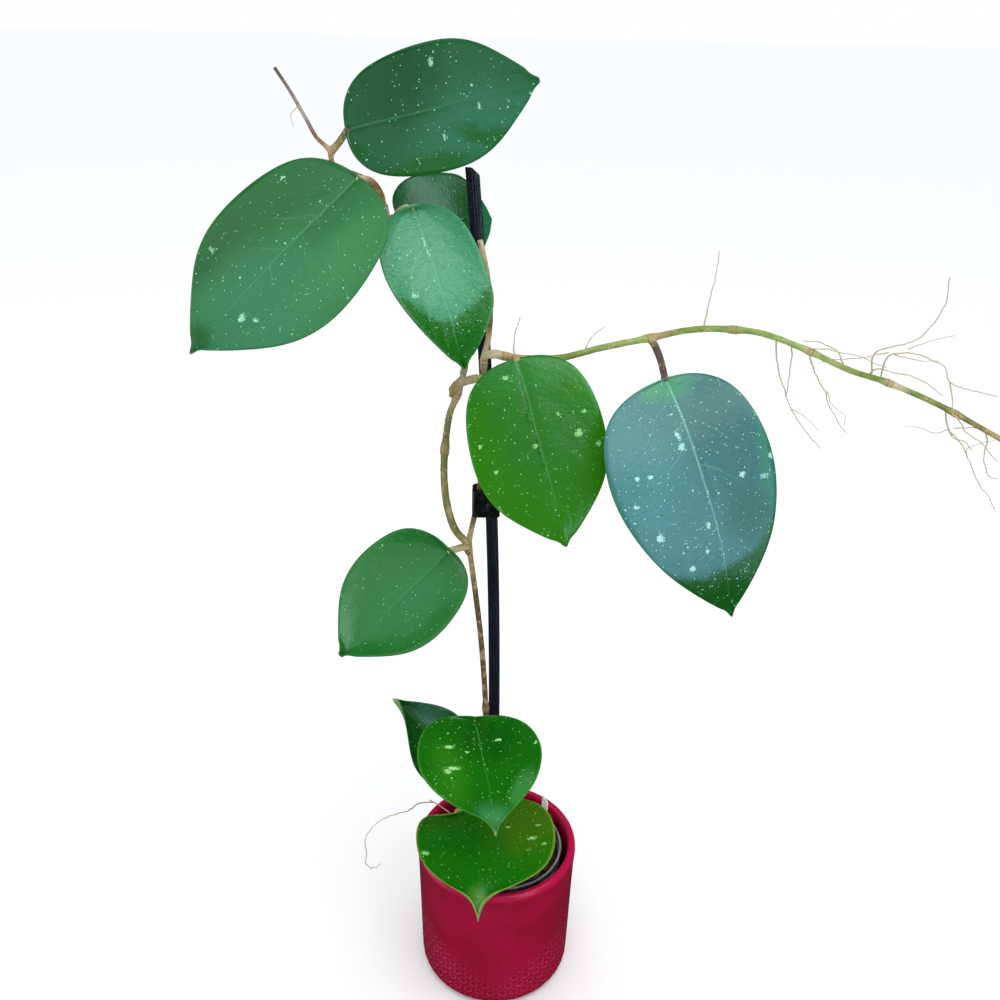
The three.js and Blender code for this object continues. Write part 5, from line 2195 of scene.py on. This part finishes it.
YOUNG_ROOT = ((0, Tint.PINK), (1, Tint.ROOT))
CUT_STEM = LeafyStem(
    "cut_stem",
    "cut_stem_and_roots",
    Slot.ROOT,
    (
        Tube(
            [(-28, 27, 62), (-29.5, 26, 90), (-31, 25, 110), (-30.5, 23.5, 117)],
            2.6, 3.1, (0.85,), ((0, Tint.DARK), (0.8, Tint.BROWN), (1, Tint.TAN)),
        ),
        root([(-31, 25, 110), (-36, 25, 113), (-44, 30, 116), (-54, 32, 121)], 0.6, 0.4, tints=YOUNG_ROOT),
        root([(-31, 25, 109), (-38, 17, 111), (-41, 12, 109.5), (-38, 6, 103.5)], 0.6, 0.3, tints=YOUNG_ROOT),
        root([(-36, 25, 113), (-38, 18, 109), (-36, 14, 104)], 0.5, 0.3, tints=YOUNG_ROOT),
        root(
            [
                (-50, 31.4, 119), (-61, 24, 124), (-69, 5, 132.5), (-81, 0, 133), (-91, -3, 128),
                (-99, -5, 117), (-100, -5, 110), (-99, -6, 102), (-100, -6, 91), (-96, -6, 85),
            ],
            0.55,
            0.3,
        ),
        root([(-97, -6, 86), (-92, -7, 88), (-88, -8, 93)], 0.4, 0.2),
    ),
    StemFinish("root_skin", streaks=0.3, specks=0.2, roughness=0.75),
)


# ---------------------------------------------------------------- studio


@dataclass(frozen=True)
class SoftBox:
    """A flat lamp that looks at the plant from one direction."""

    name: str
    azimuth: float
    elevation: float
    distance: float
    width: float
    height: float
    power: float
    colour: Triple = (1.0, 1.0, 1.0)
    aim: Triple = (0.02, 0.0, 0.35)

    def build(self) -> bpy.types.Object:
        """Hangs the lamp. Azimuth 0 is in front of the plant and 90 to its right.

        Returns:
            The lamp.
        """
        lamp = bpy.data.lights.new(self.name, "AREA")
        lamp.shape = "RECTANGLE"
        lamp.size, lamp.size_y = self.width, self.height
        lamp.energy = self.power
        lamp.color = self.colour
        holder = bpy.data.objects.new(self.name, lamp)
        a, e = math.radians(self.azimuth), math.radians(self.elevation)
        out = Vector((math.sin(a) * math.cos(e), -math.cos(a) * math.cos(e), math.sin(e)))
        place = Matrix.Translation(Vector(self.aim) + out * self.distance)
        holder.matrix_world = place @ out.to_track_quat("Z", "Y").to_matrix().to_4x4()
        holder.visible_camera = holder.visible_glossy = False
        bpy.context.scene.collection.objects.link(holder)
        return holder


@dataclass(frozen=True)
class Panel:
    """A soft-edged light panel far away, as the gloss mirrors it, in degrees."""

    azimuth: float
    half_width: float
    elevation: float
    half_height: float
    softness: float
    light: Triple

    def over(self, g: Graph, azimuth: Socket, elevation: Socket, below: Colour) -> Socket:
        """Lays the panel over what is mirrored already.

        Args:
            g: the surroundings' nodes.
            azimuth: the direction's azimuth, 0 in front of the plant and 90 to its right.
            elevation: the direction's elevation.
            below: what is mirrored without it.
        Returns:
            The light with the panel.
        """
        turn = g.sum("WRAP", g.minus(azimuth, self.azimuth), -180.0, 180.0)
        aside = g.minus(g.size(turn), self.half_width)
        above = g.minus(g.size(g.minus(elevation, self.elevation)), self.half_height)
        soft = self.softness
        cover = g.times(g.ramp(aside, soft, -soft), g.ramp(above, soft, -soft))
        return g.mix(cover, below, self.light)


@dataclass(frozen=True)
class Studio:
    """The camera at the picture's angle, a pale floor and soft light."""

    camera_place: Triple = (-0.0027, -0.5823, 0.6707)
    camera_pitch: float = 25.08
    camera_roll: float = 1.168
    lens: float = 36.0
    sensor: float = 36.0
    floor_size: float = 300.0
    floor_colour: Triple = (0.96, 0.96, 0.96)
    glow: Triple = (1.0, 1.02, 1.04)
    dark: Triple = (0.02, 0.025, 0.03)
    lamp: SoftBox = SoftBox("overhead", 15, 62, 1.9, 1.4, 1.0, 12)
    panels: tuple[Panel, ...] = (
        Panel(-35, 60, 62, 20, 7, (0.75, 1.05, 1.05)),
        Panel(50, 32, 44, 14, 4, (2.4, 3.1, 2.9)),
        Panel(40, 11, 8, 28, 2, (1.3, 2.1, 2.4)),
        Panel(-40, 15, 14, 10, 5, (0.5, 0.8, 0.85)),
        Panel(-90, 22, 0, 35, 10, (1.3, 1.1, 1.5)),
    )

    def camera(self) -> None:
        """Sets the camera up."""
        data = bpy.data.cameras.new("camera")
        data.lens, data.sensor_width = self.lens, self.sensor
        data.clip_start = 0.01
        holder = bpy.data.objects.new("camera", data)
        p, r = math.radians(self.camera_pitch), math.radians(self.camera_roll)
        level, upright = Vector((1, 0, 0)), Vector((0, math.sin(p), math.cos(p)))
        forward = Vector((0, math.cos(p), -math.sin(p)))
        right = math.cos(r) * level + math.sin(r) * upright
        top = -math.sin(r) * level + math.cos(r) * upright
        turn = Matrix((right, top, -forward)).transposed().to_4x4()
        holder.matrix_world = Matrix.Translation(self.camera_place) @ turn
        bpy.context.scene.collection.objects.link(holder)
        bpy.context.scene.camera = holder

    def floor(self) -> None:
        """Lays the pale floor, which the gloss doesn't mirror."""
        bpy.ops.object.select_all(action="DESELECT")
        bpy.ops.mesh.primitive_plane_add(size=self.floor_size, location=(0, 0, -0.5 * MM))
        floor = added("studio_floor")
        g = Graph.of_material("studio_floor")
        pale = g.finish(Base_Color=self.floor_colour, Roughness=0.9, Specular_IOR_Level=0.0)
        floor.data.materials.append(pale)
        floor.visible_glossy = False

    def surroundings(self) -> None:
        """Makes the surroundings white and evenly bright, with soft panels for the gloss to mirror."""
        world = bpy.data.worlds.new("studio")
        bpy.context.scene.world = world
        g = Graph(world)
        x, y, z = g.split(g.node("TexCoord").outputs["Generated"])
        azimuth = g.times(g.sum("ARCTAN2", x, g.times(y, -1.0)), 360 / ROUND)
        elevation = g.times(g.sum("ARCSINE", z), 360 / ROUND)
        mirrored = self.dark
        for panel in self.panels:
            mirrored = panel.over(g, azimuth, elevation, mirrored)
        rays = g.node("LightPath")
        glow = g.mix(rays.outputs["Is Glossy Ray"], self.glow, mirrored)
        g.put(g.mix(rays.outputs["Is Camera Ray"], glow, (1.0, 1.0, 1.0)), g.shader.inputs[0])
        world.cycles.sampling_method = "NONE"
        view = bpy.context.scene.view_settings
        view.view_transform = "Standard"
        view.look = "None"

    def build(self) -> None:
        """Sets up the whole studio."""
        self.camera()
        self.floor()
        self.surroundings()
        self.lamp.build()


def main() -> None:
    """Builds the plant, its pots and the studio, and reports each piece."""
    logging.basicConfig(level=logging.INFO, format="%(name)s %(message)s")
    pieces = PotsAndMix().build() + Support().build()
    pieces += [leaf.build() for leaf in LEAVES]
    pieces += [stem.build() for stem in (MAIN_STEM, CLIMBING_SHOOT, RUNNER, CUT_STEM)]
    faces = sum(len(p.data.polygons) for p in pieces)
    LOG.info("%d pieces, %d faces", len(pieces), faces)
    Studio().build()


if __name__ == "__main__":
    main()
